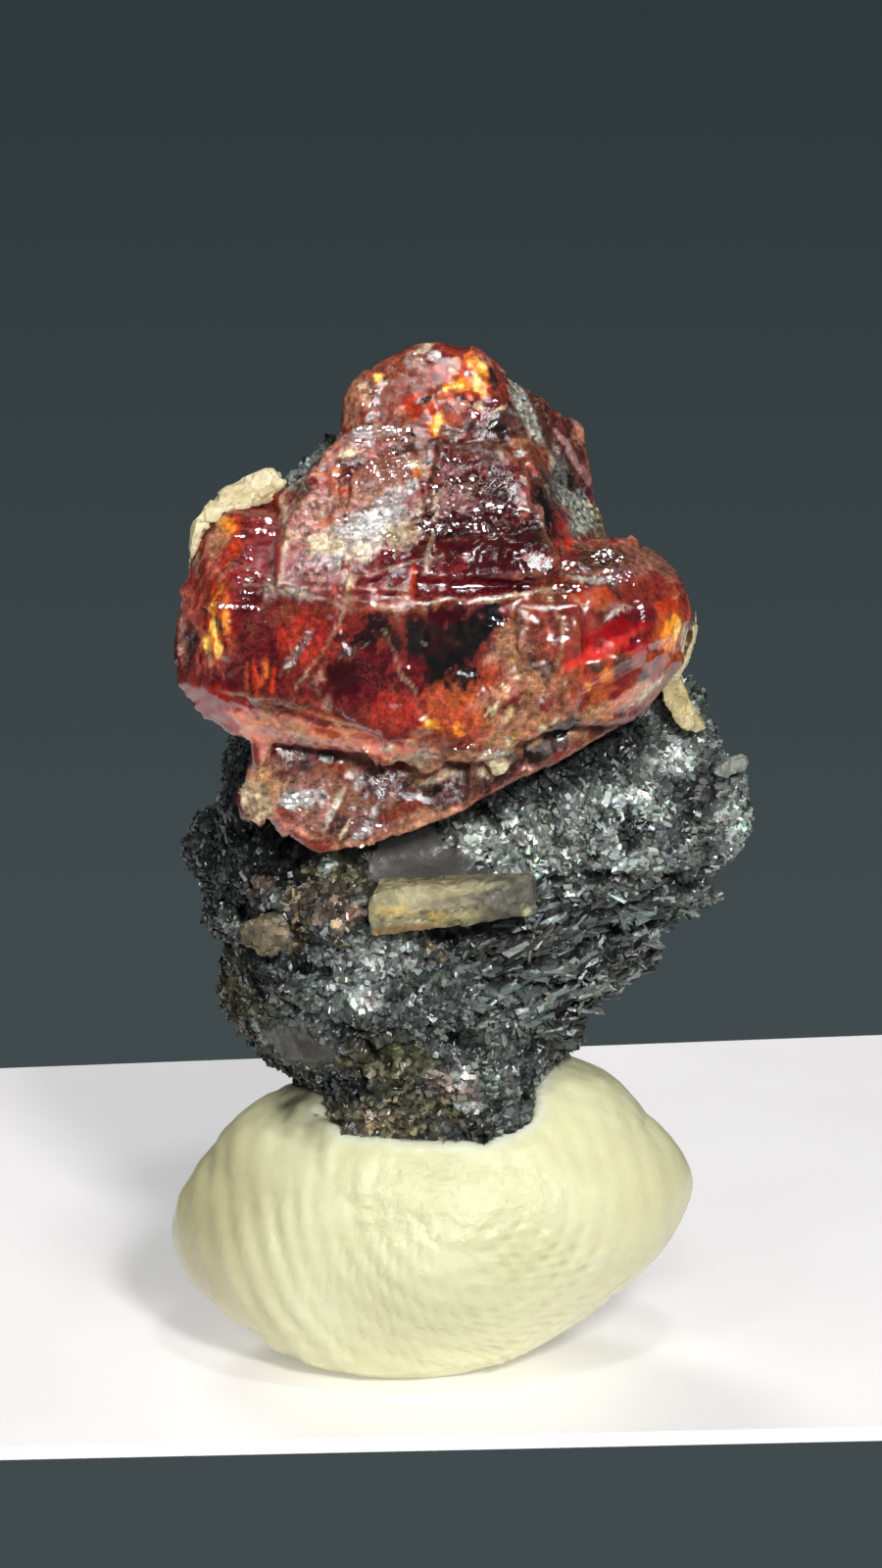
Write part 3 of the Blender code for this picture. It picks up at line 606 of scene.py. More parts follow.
# Where they lie: a style, its middle across and down in the photograph, half width, half height
# and turn in degrees. All were typed one by one, most from looking at the photograph. The last group and a
# few rows elsewhere came later, when a map showed where the render differed most.
# Many small cream, frost and pale spots among the zones are painted highlights, set where white glints are;
# the larger ones are the crystal's own frosted and pale parts.
ZIRCON_ZONES = from_photo({
    "knob at the top": [
        # The small cream and frost spots on the knob, and the frost strip under it, are painted highlights.
        ("russet", 420, 405, 62, 46, 10), ("garnet", 472, 358, 26, 7, -8),
        ("russet", 398, 400, 40, 26, 30), ("tan", 360, 412, 9, 24, -20),
        ("ember", 462, 436, 28, 12, 0), ("flame", 430, 415, 22, 12, 10),
        ("flame", 476, 386, 32, 22, -25), ("ember", 482, 380, 24, 18, -35),
        ("amber", 488, 374, 16, 8, -40), ("salmon", 496, 367, 9, 3, -35),
        ("gold", 490, 372, 8, 3, -40), ("amber", 470, 394, 20, 6, 20), ("gold", 462, 397, 12, 2.5, 15),
        ("gold", 486, 391, 4, 8, 0), ("amber", 494, 398, 4, 10, 0), ("ember", 452, 404, 14, 4, 15),
        ("salmon", 469, 413, 9, 4, -10), ("salmon", 470, 417, 5, 4, 0),
        ("cream", 490, 414, 7, 3.5, -15), ("cream", 510, 418, 8, 2, 30),
        ("cream", 460, 378, 4, 3.5, 0), ("cream", 373, 395, 5, 5, 0), ("gold", 387, 387, 4, 5, 0),
        ("salmon", 408, 420, 5, 4, 0), ("amber", 446, 434, 7, 10, -10), ("gold", 446, 433, 4, 7, -10),
        ("gold", 450, 441, 3, 3, 0), ("ember", 455, 446, 14, 6, 10), ("cream", 430, 358, 11, 3.5, 25),
        ("frost_core_and_glint", 444, 364, 6, 6, 20), ("tan", 374, 408, 4, 14, 0),
        ("frost_core_and_glint", 376, 426, 4, 5, 0), ("smoke", 434, 408, 7, 3, 15), ("smoke", 473, 406, 4, 3, 0),
        ("coal", 503, 390, 5, 10, 10), ("coal", 500, 380, 3, 5, 0), ("frost_and_glint", 372, 443, 18, 8, 12),
        ("frost_core_and_glint", 370, 446, 10, 5, 0), ("frost_and_glint", 400, 441, 12, 5, 0), ("coal", 420, 446, 7, 7, 0),
        ("umber", 500, 440, 38, 16, 10), ("umber", 505, 446, 30, 12, 10),
        ("coal", 517, 430, 20, 9, 15), ("ash_dark", 524, 424, 10, 3, -30), ("coal", 511, 444, 8, 6, 0),
        ("russet", 535, 452, 16, 8, 0),
    ],
    "steep right flank, with its crust": [
        ("plum", 568, 452, 84, 26, -58), ("umber", 560, 440, 60, 10, -58),
        ("veil", 586, 468, 40, 3, -61), ("plum", 603, 520, 26, 20, -50), ("ash", 541, 436, 56, 6, -63),
        ("ash", 534, 411, 24, 6.5, -61), ("cream", 563, 478, 8, 3, -60),
        ("ash", 577, 503, 16, 14, -45), ("ash", 590, 520, 14, 10, -45),
        ("olive", 608, 533, 22, 13, -42), ("coal", 582, 492, 6, 16, 30),
        ("ash_dark", 592, 508, 10, 5, -50), ("coal", 598, 522, 7, 4, -40),
        ("cream", 601, 515, 4, 3, 0), ("tan", 612, 528, 5, 4, 0), ("frost_and_glint", 605, 538, 4, 3, 0),
        ("ash", 590, 512, 5, 4, -40), ("tan", 589, 440, 4, 13, 10), ("veil", 586, 432, 6, 3, -50),
    ],
    "left half of the slope: frosted and brownish pink": [
        # The small cream spots here are painted highlights; the large frost zone is the crystal's own
        # frosted patch.
        ("dusk", 378, 492, 66, 42, 22), ("russet_pale", 372, 475, 30, 16, 20),
        ("ember", 337, 488, 8, 9, 0), ("amber", 334, 482, 10, 2, 8), ("ember", 346, 501, 12, 4, -10),
        ("umber", 357, 471, 12, 6, 0), ("cream", 355, 463, 10, 2.5, 12), ("amber", 423, 483, 6, 4, 0),
        ("cream", 421, 474, 8, 3.5, 0), ("umber", 412, 458, 14, 8, 0), ("dusk", 320, 535, 34, 34, 0),
        ("mauve", 326, 584, 30, 17, 0), ("ember", 340, 532, 14, 3, -5),
        ("salmon", 352, 522, 12, 3, 20), ("salmon", 330, 538, 10, 2.5, -15),
        ("frost_and_glint", 374, 543, 52, 22, 28), ("frost_core_and_glint", 380, 534, 24, 13, 30),
        ("cream", 336, 556, 20, 9, -8), ("cream", 366, 562, 14, 9, 0),
        ("cream_dim", 408, 548, 16, 14, 40), ("cream_dim", 428, 530, 6, 26, -12),
        ("frost_and_glint", 404, 506, 24, 9, 30), ("frost_core_and_glint", 420, 496, 8, 8, 0),
        ("veil", 352, 590, 26, 7, -6), ("frost_and_glint", 438, 470, 5, 10, 0),
    ],
    "burgundy half of the slope": [
        ("wine", 495, 540, 62, 64, 0), ("umber", 472, 455, 34, 14, 0), ("umber", 498, 465, 22, 16, 30),
        ("russet", 539, 473, 18, 27, 10), ("tan", 531, 452, 8, 5, 0), ("wine", 470, 500, 30, 40, 0),
        ("plum", 455, 478, 16, 12, 0), ("mauve", 458, 485, 12, 12, 0), ("wine", 515, 495, 22, 26, 0),
        ("coal", 552, 530, 17, 42, -8), ("smoke", 530, 556, 26, 16, -10),
        ("wine_deep", 484, 538, 54, 18, 0), ("wine_deep", 500, 574, 60, 20, 0),
        ("wine_deep", 480, 566, 60, 26, 0), ("plum", 500, 500, 30, 30, 20),
        ("wine_deep", 490, 520, 50, 36, 0), ("wine", 478, 590, 70, 12, 2),
        ("wine_deep", 470, 584, 70, 14, 2), ("wine_foot", 478, 603, 62, 6, 4),
        ("ember", 420, 584, 10, 8, 0), ("ember", 421, 596, 3, 12, 0), ("umber", 552, 500, 14, 20, 20),
        ("coal", 556, 512, 9, 24, -8),
    ],
    "left panel, stepped": [
        ("wine_pink", 268, 560, 22, 46, 0), ("flame", 283, 511, 7, 8, 0),
        ("wine", 268, 610, 22, 18, 0),
    ],
    "far left face": [
        # Painted light: the face's rosy base is lighter than its own red, as it is turned from the key
        # light.
        ("rosy_painted_light", 212, 600, 27, 84, 0), ("garnet", 205, 600, 10, 50, 5), ("plum", 194, 655, 8, 24, 0),
        ("dusk", 186, 640, 4, 40, 5), ("dusk", 196, 560, 4, 34, 12), ("ember", 230, 552, 10, 24, 0),
        ("garnet_bright", 228, 620, 16, 50, 0), ("flame", 240, 545, 6, 22, 0),
        ("honey", 222, 536, 14, 18, 0), ("amber", 232, 536, 8, 9, 0), ("tan", 216, 552, 5, 14, 0),
        ("flame", 224, 622, 10, 44, -6), ("ember", 224, 632, 7, 36, -6),
        ("flame", 214, 618, 4, 26, -4), ("amber", 219, 622, 4, 26, -8), ("amber", 231, 630, 3, 18, 4),
        ("umber", 225, 640, 2.5, 9, 10), ("amber", 218, 655, 9, 14, 4), ("gold", 218, 640, 3, 10, 6),
        ("gold", 211, 656, 4.5, 9, 10), ("gold", 224, 662, 5, 8, -10), ("tan", 216, 672, 3, 12, 0),
        ("crimson", 241, 642, 5, 6, 0), ("wine_pink", 240, 600, 6, 14, 0),
    ],
    "front of the prism": [
        # The small cream spots and the frost streak low at the right are painted highlights.
        ("garnet", 320, 650, 62, 44, 0), ("wine", 265, 660, 22, 44, 5),
        ("russet", 300, 628, 28, 12, 0), ("garnet_bright", 318, 648, 28, 26, 0),
        ("mauve", 304, 664, 4, 26, -35), ("ember", 252, 690, 2, 16, -6),
        ("flame", 260, 686, 2.5, 20, 4), ("ember", 268, 690, 2.5, 14, -8),
        ("amber", 271, 688, 1.5, 9, -8), ("flame", 279, 694, 2, 11, -6),
        ("russet", 340, 617, 22, 10, 0), ("wine", 362, 700, 42, 28, 15),
        ("wine_deep", 350, 690, 18, 20, 0), ("smoke", 372, 652, 24, 10, 30),
        ("smoke", 384, 640, 12, 16, 0), ("umber", 360, 664, 16, 6, 25), ("smoke", 350, 650, 8, 5, 0),
        ("wine", 385, 672, 18, 14, 0), ("garnet_bright", 385, 595, 24, 10, 0),
        ("wine", 470, 590, 90, 24, 0), ("wine_deep", 520, 585, 44, 22, 0),
        ("flame", 421, 597, 3.5, 15, 0), ("ember", 445, 735, 50, 26, -10),
        ("ember", 480, 705, 40, 26, 30), ("garnet_bright", 405, 728, 26, 22, 0),
        ("honey", 530, 745, 46, 22, 12), ("tan", 540, 672, 42, 50, 20), ("umber", 556, 676, 18, 20, 0),
        ("dusk", 552, 640, 30, 24, 0), ("honey", 548, 645, 4, 10, 0), ("tan", 548, 700, 24, 16, 30),
        ("salmon", 515, 708, 30, 10, 25), ("ember", 500, 690, 18, 8, 40),
        ("frost_and_glint", 548, 720, 12, 2, 50), ("cream", 516, 702, 8, 2, -40),
        ("cream", 530, 690, 7, 1.5, 30), ("ash_dark", 557, 682, 6, 9, 0), ("umber", 537, 680, 6, 5, 0),
        ("amber", 441, 741, 9, 8, 0), ("gold", 439, 738, 4, 4, 0), ("amber", 470, 745, 6, 9, 0),
        ("tan", 508, 742, 8, 16, 20), ("tan", 536, 728, 20, 12, 10),
        ("honey_pale", 520, 728, 6, 12, -30), ("cream", 505, 722, 3, 10, -30),
        ("ember", 485, 742, 14, 10, 0), ("cream", 498, 725, 3, 8, -30), ("cream", 519, 756, 4, 5, 0),
        ("cream", 552, 740, 6, 3.5, 0), ("coal", 470, 652, 46, 26, 38), ("coal", 468, 655, 42, 22, 38),
        ("smoke", 430, 652, 26, 30, 10), ("coal", 444, 682, 18, 14, 30), ("coal", 420, 640, 10, 8, 0),
        ("coal", 500, 632, 18, 8, 10), ("wine", 418, 690, 14, 18, 0), ("smoke", 475, 690, 16, 12, 40),
    ],
    "pale bevel under the prism": [
        # The rose zones are partly painted light: the bevel's pink made paler for the floor's light on this
        # downward face.
        ("rose_deep", 226, 722, 38, 20, -38), ("rose", 240, 740, 24, 8, -38),
        ("rose", 262, 742, 30, 13, -25), ("rose", 330, 752, 80, 12, -12),
        ("rose", 410, 768, 44, 8, -4), ("salmon", 290, 745, 36, 10, -20),
        ("rose_deep", 236, 742, 22, 6, -50), ("mauve", 228, 736, 16, 2, -45),
        ("mauve", 246, 752, 14, 1.5, -40), ("amber", 333, 746, 9, 2, -12),
        ("ember", 331, 747, 14, 4, -12), ("ember", 370, 752, 12, 3, -8),
        ("ember", 313, 728, 34, 2.5, -14), ("wine", 284, 721, 8, 3, -14),
        ("cream", 428, 771, 18, 4.5, 0), ("cream", 500, 771, 30, 5, 0), ("cream", 394, 764, 8, 3, 20),
        ("honey", 545, 757, 20, 7, 35), ("cream", 560, 742, 14, 3, 50),
        ("frost_core_and_glint", 508, 769, 6, 4, 0), ("frost_and_glint", 430, 767, 5, 3, 0),
        ("salmon", 270, 765, 7, 18, 0),
    ],
    "ledge under the prism": [
        # Most frost spots and streaks on the ledge are painted highlights; the pale spindle near its middle
        # is the crystal's own.
        ("dusk_dark", 350, 820, 104, 46, -4), ("dusk_dark", 430, 808, 70, 26, 24),
        ("umber", 300, 775, 20, 12, 0), ("umber", 330, 835, 40, 14, -20),
        ("plum", 395, 800, 34, 20, 0), ("umber", 455, 800, 56, 12, 26), ("smoke", 480, 806, 30, 5, 26),
        ("shade", 562, 760, 52, 11, 27), ("dusk", 300, 830, 40, 30, 10),
        ("honey_pale", 268, 812, 18, 27, 0), ("tan", 272, 822, 8, 12, 0),
        ("umber", 262, 820, 4, 12, 20), ("cream", 272, 800, 12, 2, -55), ("cream", 268, 784, 7, 3, 0),
        ("honey_pale", 258, 808, 6, 14, 10), ("frost_and_glint", 304, 818, 24, 10, 8),
        ("frost_core_and_glint", 300, 820, 18, 6, 15), ("frost_core_and_glint", 318, 812, 10, 3, 20),
        ("russet", 290, 834, 14, 9, 0), ("cream", 343, 822, 24, 4, 65),
        ("frost_core_and_glint", 341, 825, 15, 2.5, 65), ("mauve", 374, 836, 18, 18, 0),
        ("frost_and_glint", 378, 842, 20, 5, 60), ("frost_and_glint", 366, 853, 12, 4, 40),
        ("frost_core_and_glint", 382, 826, 8, 3, 60), ("cream", 352, 846, 12, 2, 60),
        ("umber", 455, 806, 50, 18, 25), ("cream_dim", 450, 792, 26, 5, 15),
        ("umber", 462, 812, 16, 6, 20), ("russet", 405, 828, 26, 7, 25), ("tan", 418, 838, 26, 6, 25),
        ("coal", 446, 806, 9, 5, 20), ("salmon", 310, 850, 44, 4.5, -26),
        ("salmon", 385, 858, 40, 5, 12), ("russet", 328, 861, 13, 6, 0),
        ("salmon", 440, 836, 40, 4, 25), ("umber", 500, 795, 40, 12, 28),
        ("plum", 520, 785, 30, 6, 28), ("coal", 337, 773, 16, 7, -5), ("ash", 334, 776, 8, 4, -20),
    ],
    "lobe": [
        ("wine", 622, 645, 58, 30, 10), ("dusk_dark", 640, 578, 60, 26, -6),
        ("umber", 612, 572, 30, 14, 0), ("mauve", 640, 596, 34, 12, -10),
        ("umber", 632, 605, 60, 9, -8), ("veil", 620, 618, 50, 5, -8), ("garnet", 655, 600, 26, 16, 0),
        ("flame", 605, 608, 22, 12, 0), ("ember", 612, 612, 18, 5, -10),
        ("garnet", 600, 648, 44, 22, 10), ("crimson", 632, 641, 44, 12, 14),
        ("saddle", 554, 640, 14, 42, 10), ("saddle", 546, 632, 18, 24, 0),
        ("garnet_deep", 580, 634, 18, 16, 0), ("garnet_deep", 576, 662, 14, 18, 0),
        ("wine", 665, 628, 22, 9, 0), ("wine", 610, 632, 24, 7, 20), ("coral", 606, 669, 32, 8, 19),
        ("coral", 630, 655, 18, 5, 22), ("crimson", 655, 661, 18, 8, 20),
        ("ember", 625, 692, 42, 20, 15), ("garnet", 640, 690, 18, 16, 0),
        ("umber", 608, 681, 9, 6, 20), ("umber", 634, 676, 9, 8, 20), ("umber", 655, 692, 6, 9, 0),
        ("amber", 618, 690, 6, 7, 0), ("amber", 600, 700, 5, 4, 0), ("ember", 684, 640, 17, 40, -10),
        ("amber", 685, 644, 9, 18, -10), ("gold", 692, 640, 3, 10, -10), ("flame", 680, 618, 16, 8, 0),
        ("tan", 605, 728, 34, 9, 18), ("salmon", 640, 712, 26, 8, 32), ("cream", 660, 704, 20, 3, 42),
        ("cream", 701, 660, 3, 22, 0), ("ash", 596, 590, 23, 3.5, -12), ("frost_and_glint", 612, 593, 5, 3.5, 0),
        ("frost_and_glint", 624, 627, 10, 3, 32), ("coal", 571, 745, 21, 9, 32),
        ("ash_dark", 575, 738, 8, 4, 25), ("tan", 590, 748, 12, 6, 25), ("cream", 503, 784, 16, 8, 12),
        ("tan", 434, 784, 26, 11, -8), ("cream_dim", 420, 778, 24, 4, -10),
        # Painted highlights: the three frost spots below, two on the knob and one on the slope.
        ("frost_core_and_glint", 445, 363, 4, 4, 0), ("frost_core_and_glint", 460, 378, 4, 3.5, 0),
        ("frost_core_and_glint", 530, 462, 5, 3, 0),
    ],
    "over the rest, where the render still differed most": [
        # Painted highlights: the veil and frost spots at the foot of the pyramid's left side, and the ash
        # and mauve spots on the slope.
        ("veil", 278, 602, 14, 12, 0), ("veil", 308, 606, 28, 9, 0), ("frost_and_glint", 300, 604, 14, 5, 0),
        ("ash", 304, 490, 12, 12, -30), ("mauve", 474, 508, 14, 14, 0),
        ("ash_dark", 568, 488, 9, 16, -20), ("mauve", 450, 510, 12, 14, 0),
        ("wine_deep", 530, 582, 32, 14, 0), ("wine", 498, 602, 18, 8, 0),
        ("wine_deep", 450, 628, 16, 9, 0), ("saddle_low", 570, 632, 13, 18, 0),
        # The coal spot at the lower right darkens the gap between prism and ledge: painted shade.
        ("garnet", 592, 632, 14, 14, 0), ("coal", 426, 654, 13, 14, 0), ("coal", 548, 776, 20, 9, -20),
        ("coal", 514, 430, 10, 9, 0), ("ash", 592, 532, 10, 14, -30), ("honey", 474, 772, 18, 8, 0),
        ("honey", 264, 802, 18, 24, 0), ("cream_dim", 260, 812, 15, 20, 0),
        ("cream", 247, 802, 4, 22, 10), ("cream", 262, 836, 16, 4, 35),
    ],
})
# Where no zone lies: a style, its lumps' size, a seed and how rare it is.
ZIRCON_DRIFTS = [
    ("wine", 1.9, 101, 0.1), ("russet", 1.3, 103, 0.35), ("dusk", 1.1, 105, 0.6), ("flame", 0.8, 107, 0.85),
]
# Growth steps, raised in the surface: places in mm in the reference view.
STEPPED = [
    (0.4, 6.7, 0.9, 1.0, 0), (1.0, 6.05, 1.3, 0.35, 0), (0.2, 6.1, 0.6, 0.5, 0),
]
# Smooth glassy parts, where the surface is least broken.
GLASSY = [
    (4.0, 3.4, 1.5, 1.5, 0), (-4.9, 1.6, 1.3, 0.7, -35), (-2.2, 1.2, 1.9, 0.35, -12),
    (-0.5, 3.4, 0.9, 0.7, 0),
]
# The line of the pyramid's foot and the broadest pale veils, then the finer healed cracks, as
# places in the reference view. The pale foot line is partly a painted highlight along that edge.
VEILS = [
    [(-4.55, 4.65), (-3.86, 4.52), (-3.2, 4.39), (-2.18, 4.16), (-1.02, 4.07), (0.0, 4.25), (1.14, 4.27),
     (2.16, 4.43), (2.84, 4.55)],
    [(-3.66, 6.68), (-3.55, 5.8), (-3.68, 5.0), (-3.8, 4.55)],
    [(-1.98, 6.2), (-1.91, 5.45), (-2.11, 4.77), (-2.18, 4.16)],
    [(-0.07, 6.82), (-0.27, 5.45), (-0.4, 4.9)],
]
VEINS = [
    [(-2.05, 4.75), (-1.27, 5.05), (0.0, 5.27)],
    [(-2.18, 4.16), (-2.5, 3.41), (-3.0, 2.73), (-3.41, 2.2)],
    [(-2.09, 6.59), (-0.75, 6.93), (-0.25, 7.25)],
    [(-1.27, 3.59), (-1.09, 3.07), (-0.89, 2.5), (-0.57, 2.02)],
    [(2.5, 4.36), (2.84, 3.64), (2.77, 2.73), (2.95, 2.05)],
    [(-5.43, 2.3), (-4.05, 1.93), (-2.73, 1.52), (-1.73, 1.27), (0.0, 0.77)],
    [(2.8, 4.55), (3.41, 4.09), (4.32, 4.05)],
]
# The ripples on the lower left bevel, and the height of a growth step.
RIPPLE_MIDDLE = (-5.1, 0.9)
RIPPLE_PERIOD = 0.33
STEP_RISE = 0.26
# How far the surface may sink and stand out.
ZIRCON_RELIEF = (-0.16, 0.1)
# Where small growth steps crowd. They all face one way, so that they catch the key light together.
GLINTS = [
    (0.2, 7.0, 0.5, 0.62, 0), (0.6, 6.15, 1.4, 0.32, 0), (-4.27, 5.2, 0.42, 1.2, 0),
    (-4.5, 4.14, 1.0, 0.12, 0), (-1.5, 5.9, 0.9, 0.7, 20), (-0.3, 9.95, 0.35, 0.16, 0),
    (-1.66, 8.8, 0.16, 0.6, 0), (-1.4, 8.1, 0.7, 0.2, 0), (3.7, 4.95, 0.9, 0.4, -8),
    (-3.4, -0.34, 0.36, 0.24, 0), (-1.7, -1.1, 0.4, 0.4, 30), (-1.48, 7.3, 1.0, 0.35, 0),
    (1.32, 3.8, 0.16, 0.4, -30), (0.8, 8.75, 0.6, 0.2, 0), (2.9, 4.5, 0.3, 0.2, 0),
    (0.6, 0.75, 0.6, 0.13, 5),
]
GLINT_SIZES = ((0.02, 0.065), (0.015, 0.035), (0.015, 0.025))
# Places tried for growth steps, all over the crystal; few lie where steps crowd.
GLINT_TRIES = 450000
# The worn knob at the top, as an ellipsoid: its middle and half sizes.
KNOB = [((0.2, 0.0, 24.0), (2.4, 3.0, 1.6))]
KNOB_PASSES = 40
# Lumps of the same crystal: the shallow saddle between prism and lobe, the scallops along the
# prism's lower front edge, and the ledge's square corner and steeper right end.
LUMPS = [
    [(2.0, -4.5, 19.3), (3.3, -4.35, 19.2), (2.0, -4.6, 18.4), (3.4, -4.5, 18.3),
     (2.2, -4.4, 17.0), (3.3, -4.2, 17.0), (2.2, -4.0, 16.2), (3.1, -3.85, 16.2),
     (2.2, -3.0, 19.0), (3.2, -3.0, 19.0), (2.2, -3.0, 16.5), (3.2, -3.0, 16.5)],
    [(-1.6, -4.4, 15.8), (-1.3, -4.3, 15.45), (-0.9, -4.2, 15.5), (-0.8, -4.2, 15.9),
     (-1.6, -3.4, 15.8), (-0.9, -3.4, 15.6)],
    [(-0.7, -4.1, 15.7), (-0.1, -4.0, 15.1), (0.2, -4.0, 15.3), (0.5, -4.0, 15.8),
     (-0.6, -3.2, 15.6), (0.3, -3.2, 15.4)],
    [(1.1, -3.95, 15.6), (1.4, -3.8, 15.05), (1.7, -3.75, 15.15), (2.0, -3.8, 15.7),
     (1.2, -3.1, 15.5), (1.8, -3.1, 15.4)],
    [(-4.45, -3.1, 14.55), (-4.3, -3.1, 13.93), (-3.86, -3.15, 13.7), (-3.7, -3.3, 14.4),
     (-4.4, -2.4, 14.4), (-4.25, -2.4, 13.8), (-3.8, -2.4, 13.55)],
    [(0.9, -3.5, 15.9), (4.2, -2.95, 17.0), (0.9, -3.5, 14.35), (2.7, -3.36, 15.2), (4.6, -2.85, 16.2),
     (1.0, -2.4, 15.9), (4.2, -2.2, 16.9), (1.2, -2.4, 14.9), (4.4, -2.2, 16.4)],
]


def make_zircon():
    """The crystal: the CAD solid refined, its faces broken, stepped and veined."""
    crystal = fine_copy("zircon_crystal", "zircon", ZIRCON_GRAIN, extras=LUMPS)
    rounded(crystal, near(mesh_places(crystal), KNOB, wobble=0.0), KNOB_PASSES)
    places, normals = mesh_places(crystal), mesh_normals(crystal)
    edge = sharpness(crystal, ZIRCON_GRAIN)
    vein = healed_cracks(places, normals)
    glassy = marked(places, normals, GLASSY, 79)
    stepped = marked(places, normals, STEPPED, 78)

    rows = zircon_rows(places, normals)
    # Painted highlight: the outer edges turn paler salmon.
    rim = edge * np.clip(0.35 + 0.5 * rough(places, 0.6, 36), 0, 0.8)
    rows += (ZIRCON_STYLES["salmon"] - rows) * rim[:, None]
    rows += (ZIRCON_STYLES["cream"] - rows) * 0.75 * vein[:, None]
    rows[:, 4] = np.maximum(rows[:, 4], 0.95 * stepped)
    height = zircon_relief(places, normals, rows[:, 4], glassy, stepped, vein)
    set_places(crystal, places + normals * np.clip(height, *ZIRCON_RELIEF)[:, None])

    set_colours(crystal, uneven_red(places, rows[:, :3]))
    set_values(crystal, "clear", rows[:, 3])
    set_values(crystal, "grain", rows[:, 4] * (1 - 0.7 * glassy))
    set_values(crystal, "dull", rows[:, 5])
    # Painted glow: how much light of its own each place gives off.
    set_values(crystal, "glow", rows[:, 6])
    smooth_shaded(crystal)
    crystal.data.materials.append(zircon_material())
    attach(crystal, "root")
    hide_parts("zircon_crystal")
    return crystal


def zircon_rows(places, normals):
    """The crystal's look at each place: its drifting garnet red, under the zones."""
    rows = drifted(places, ZIRCON_STYLES, "garnet", ZIRCON_DRIFTS)
    return painted(places, normals, rows, ZIRCON_STYLES, ZIRCON_ZONES, 70)


def healed_cracks(places, normals):
    """How far each place is on a pale line of the crystal, from 0 to 1: broad veils, finer veins."""
    fine_veins = 0.6 * near_lines(places, normals, VEINS, 0.035)
    vein = np.maximum(near_lines(places, normals, VEILS, 0.05), fine_veins)
    return vein * np.clip(0.65 + 0.7 * rough(places, 0.45, 33), 0, 1)


def zircon_relief(places, normals, grain, glassy, stepped, vein):
    """How far each place stands out: uneven faces, broken grain, growth steps, ripples, cracks."""
    broken, _, _ = facets(places, 0.19, 21, 0.8)
    coarse, _, _ = facets(places, 0.95, 24, 0.25)
    height = 0.03 * rough(places, 1.6, 11, octaves=2) + 0.45 * coarse
    height += 0.4 * broken * (0.06 + grain) * (1 - 0.85 * glassy)
    steps = (places[:, 2] / STEP_RISE + 0.8 * rough(places, 0.6, 31)) % 1 - 0.5
    height += 0.045 * steps * stepped
    ripple = np.linalg.norm(seen(places) - RIPPLE_MIDDLE, axis=1)
    bevel = np.clip(-4 * normals[:, 2], 0, 1) * np.clip((-3.4 - places[:, 0]) / 0.6, 0, 1)
    height += 0.02 * np.sin(ripple * 2 * math.pi / RIPPLE_PERIOD) * bevel + 0.035 * vein
    return height


def uneven_red(places, colours):
    """The colours, the red ones warmer and cooler in small patches, and all lighter and darker."""
    upright = places * (1.4, 1.4, 0.8)
    redness = np.clip(1 - colours[:, 1] / colours[:, 0], 0, 1)
    warmer = redness * rough(upright, 0.38, 121)
    lighter = np.exp(0.2 * rough(upright, 0.25, 127))
    return colours * np.exp(np.outer(warmer, (0.08, 0.4, 0.0))) * lighter[:, None]


def make_glints(crystal):
    """Tiny terraces on the crystal, parallel to each other as growth steps are."""
    rng = np.random.default_rng(12)
    spots, outward = scattered(crystal, GLINT_TRIES, rng, keep=has_glints)
    to_light = unit(np.array([KEY_PLACE]) - (0, 0, 18))[0]
    facing = unit(np.array([to_light - AWAY])) + rng.normal(0, 0.04, spots.shape)
    lengthwise = np.array(RIGHT) + rng.normal(0, 0.3, spots.shape)
    raised = spots + 0.01 * outward
    steps = flakes_mesh("zircon_steps", raised, lengthwise, facing, GLINT_SIZES, rng, level=True)
    rows = zircon_rows(spots, outward)
    set_colours(steps, np.repeat(0.8 * rows[:, :3], len(steps.data.vertices) // len(spots), axis=0))
    made, tree, shader = new_material(
        "zircon_steps", IOR=ZIRCON_IOR, Roughness=0.1, Transmission_Weight=0.3
    )
    fine = noise_value(tree, 0.05, detail=3)
    glow = brightened(tree, tint_at(tree), ramp(tree, fine, [(0.3, 0.7), (0.7, 1.3)]))
    tree.links.new(glow, shader.inputs["Base Color"])
    steps.data.materials.append(made)
    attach(steps, "root")
    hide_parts("zircon_crystal")


def has_glints(places, normals):
    """Picks places on growth steps: short uneven rows, crowded in the zones."""
    row = (places[:, 2] + 0.12 * rough(places * (0.5, 0.5, 1), 0.5, 85, octaves=2)) / 0.17 % 1
    crowded = rough(places * (1, 1, 2.2), 0.32, 84, octaves=2) > 0.05
    return crowded & (row < 0.5) & (marked(places, normals, GLINTS, 83) > 0.5)


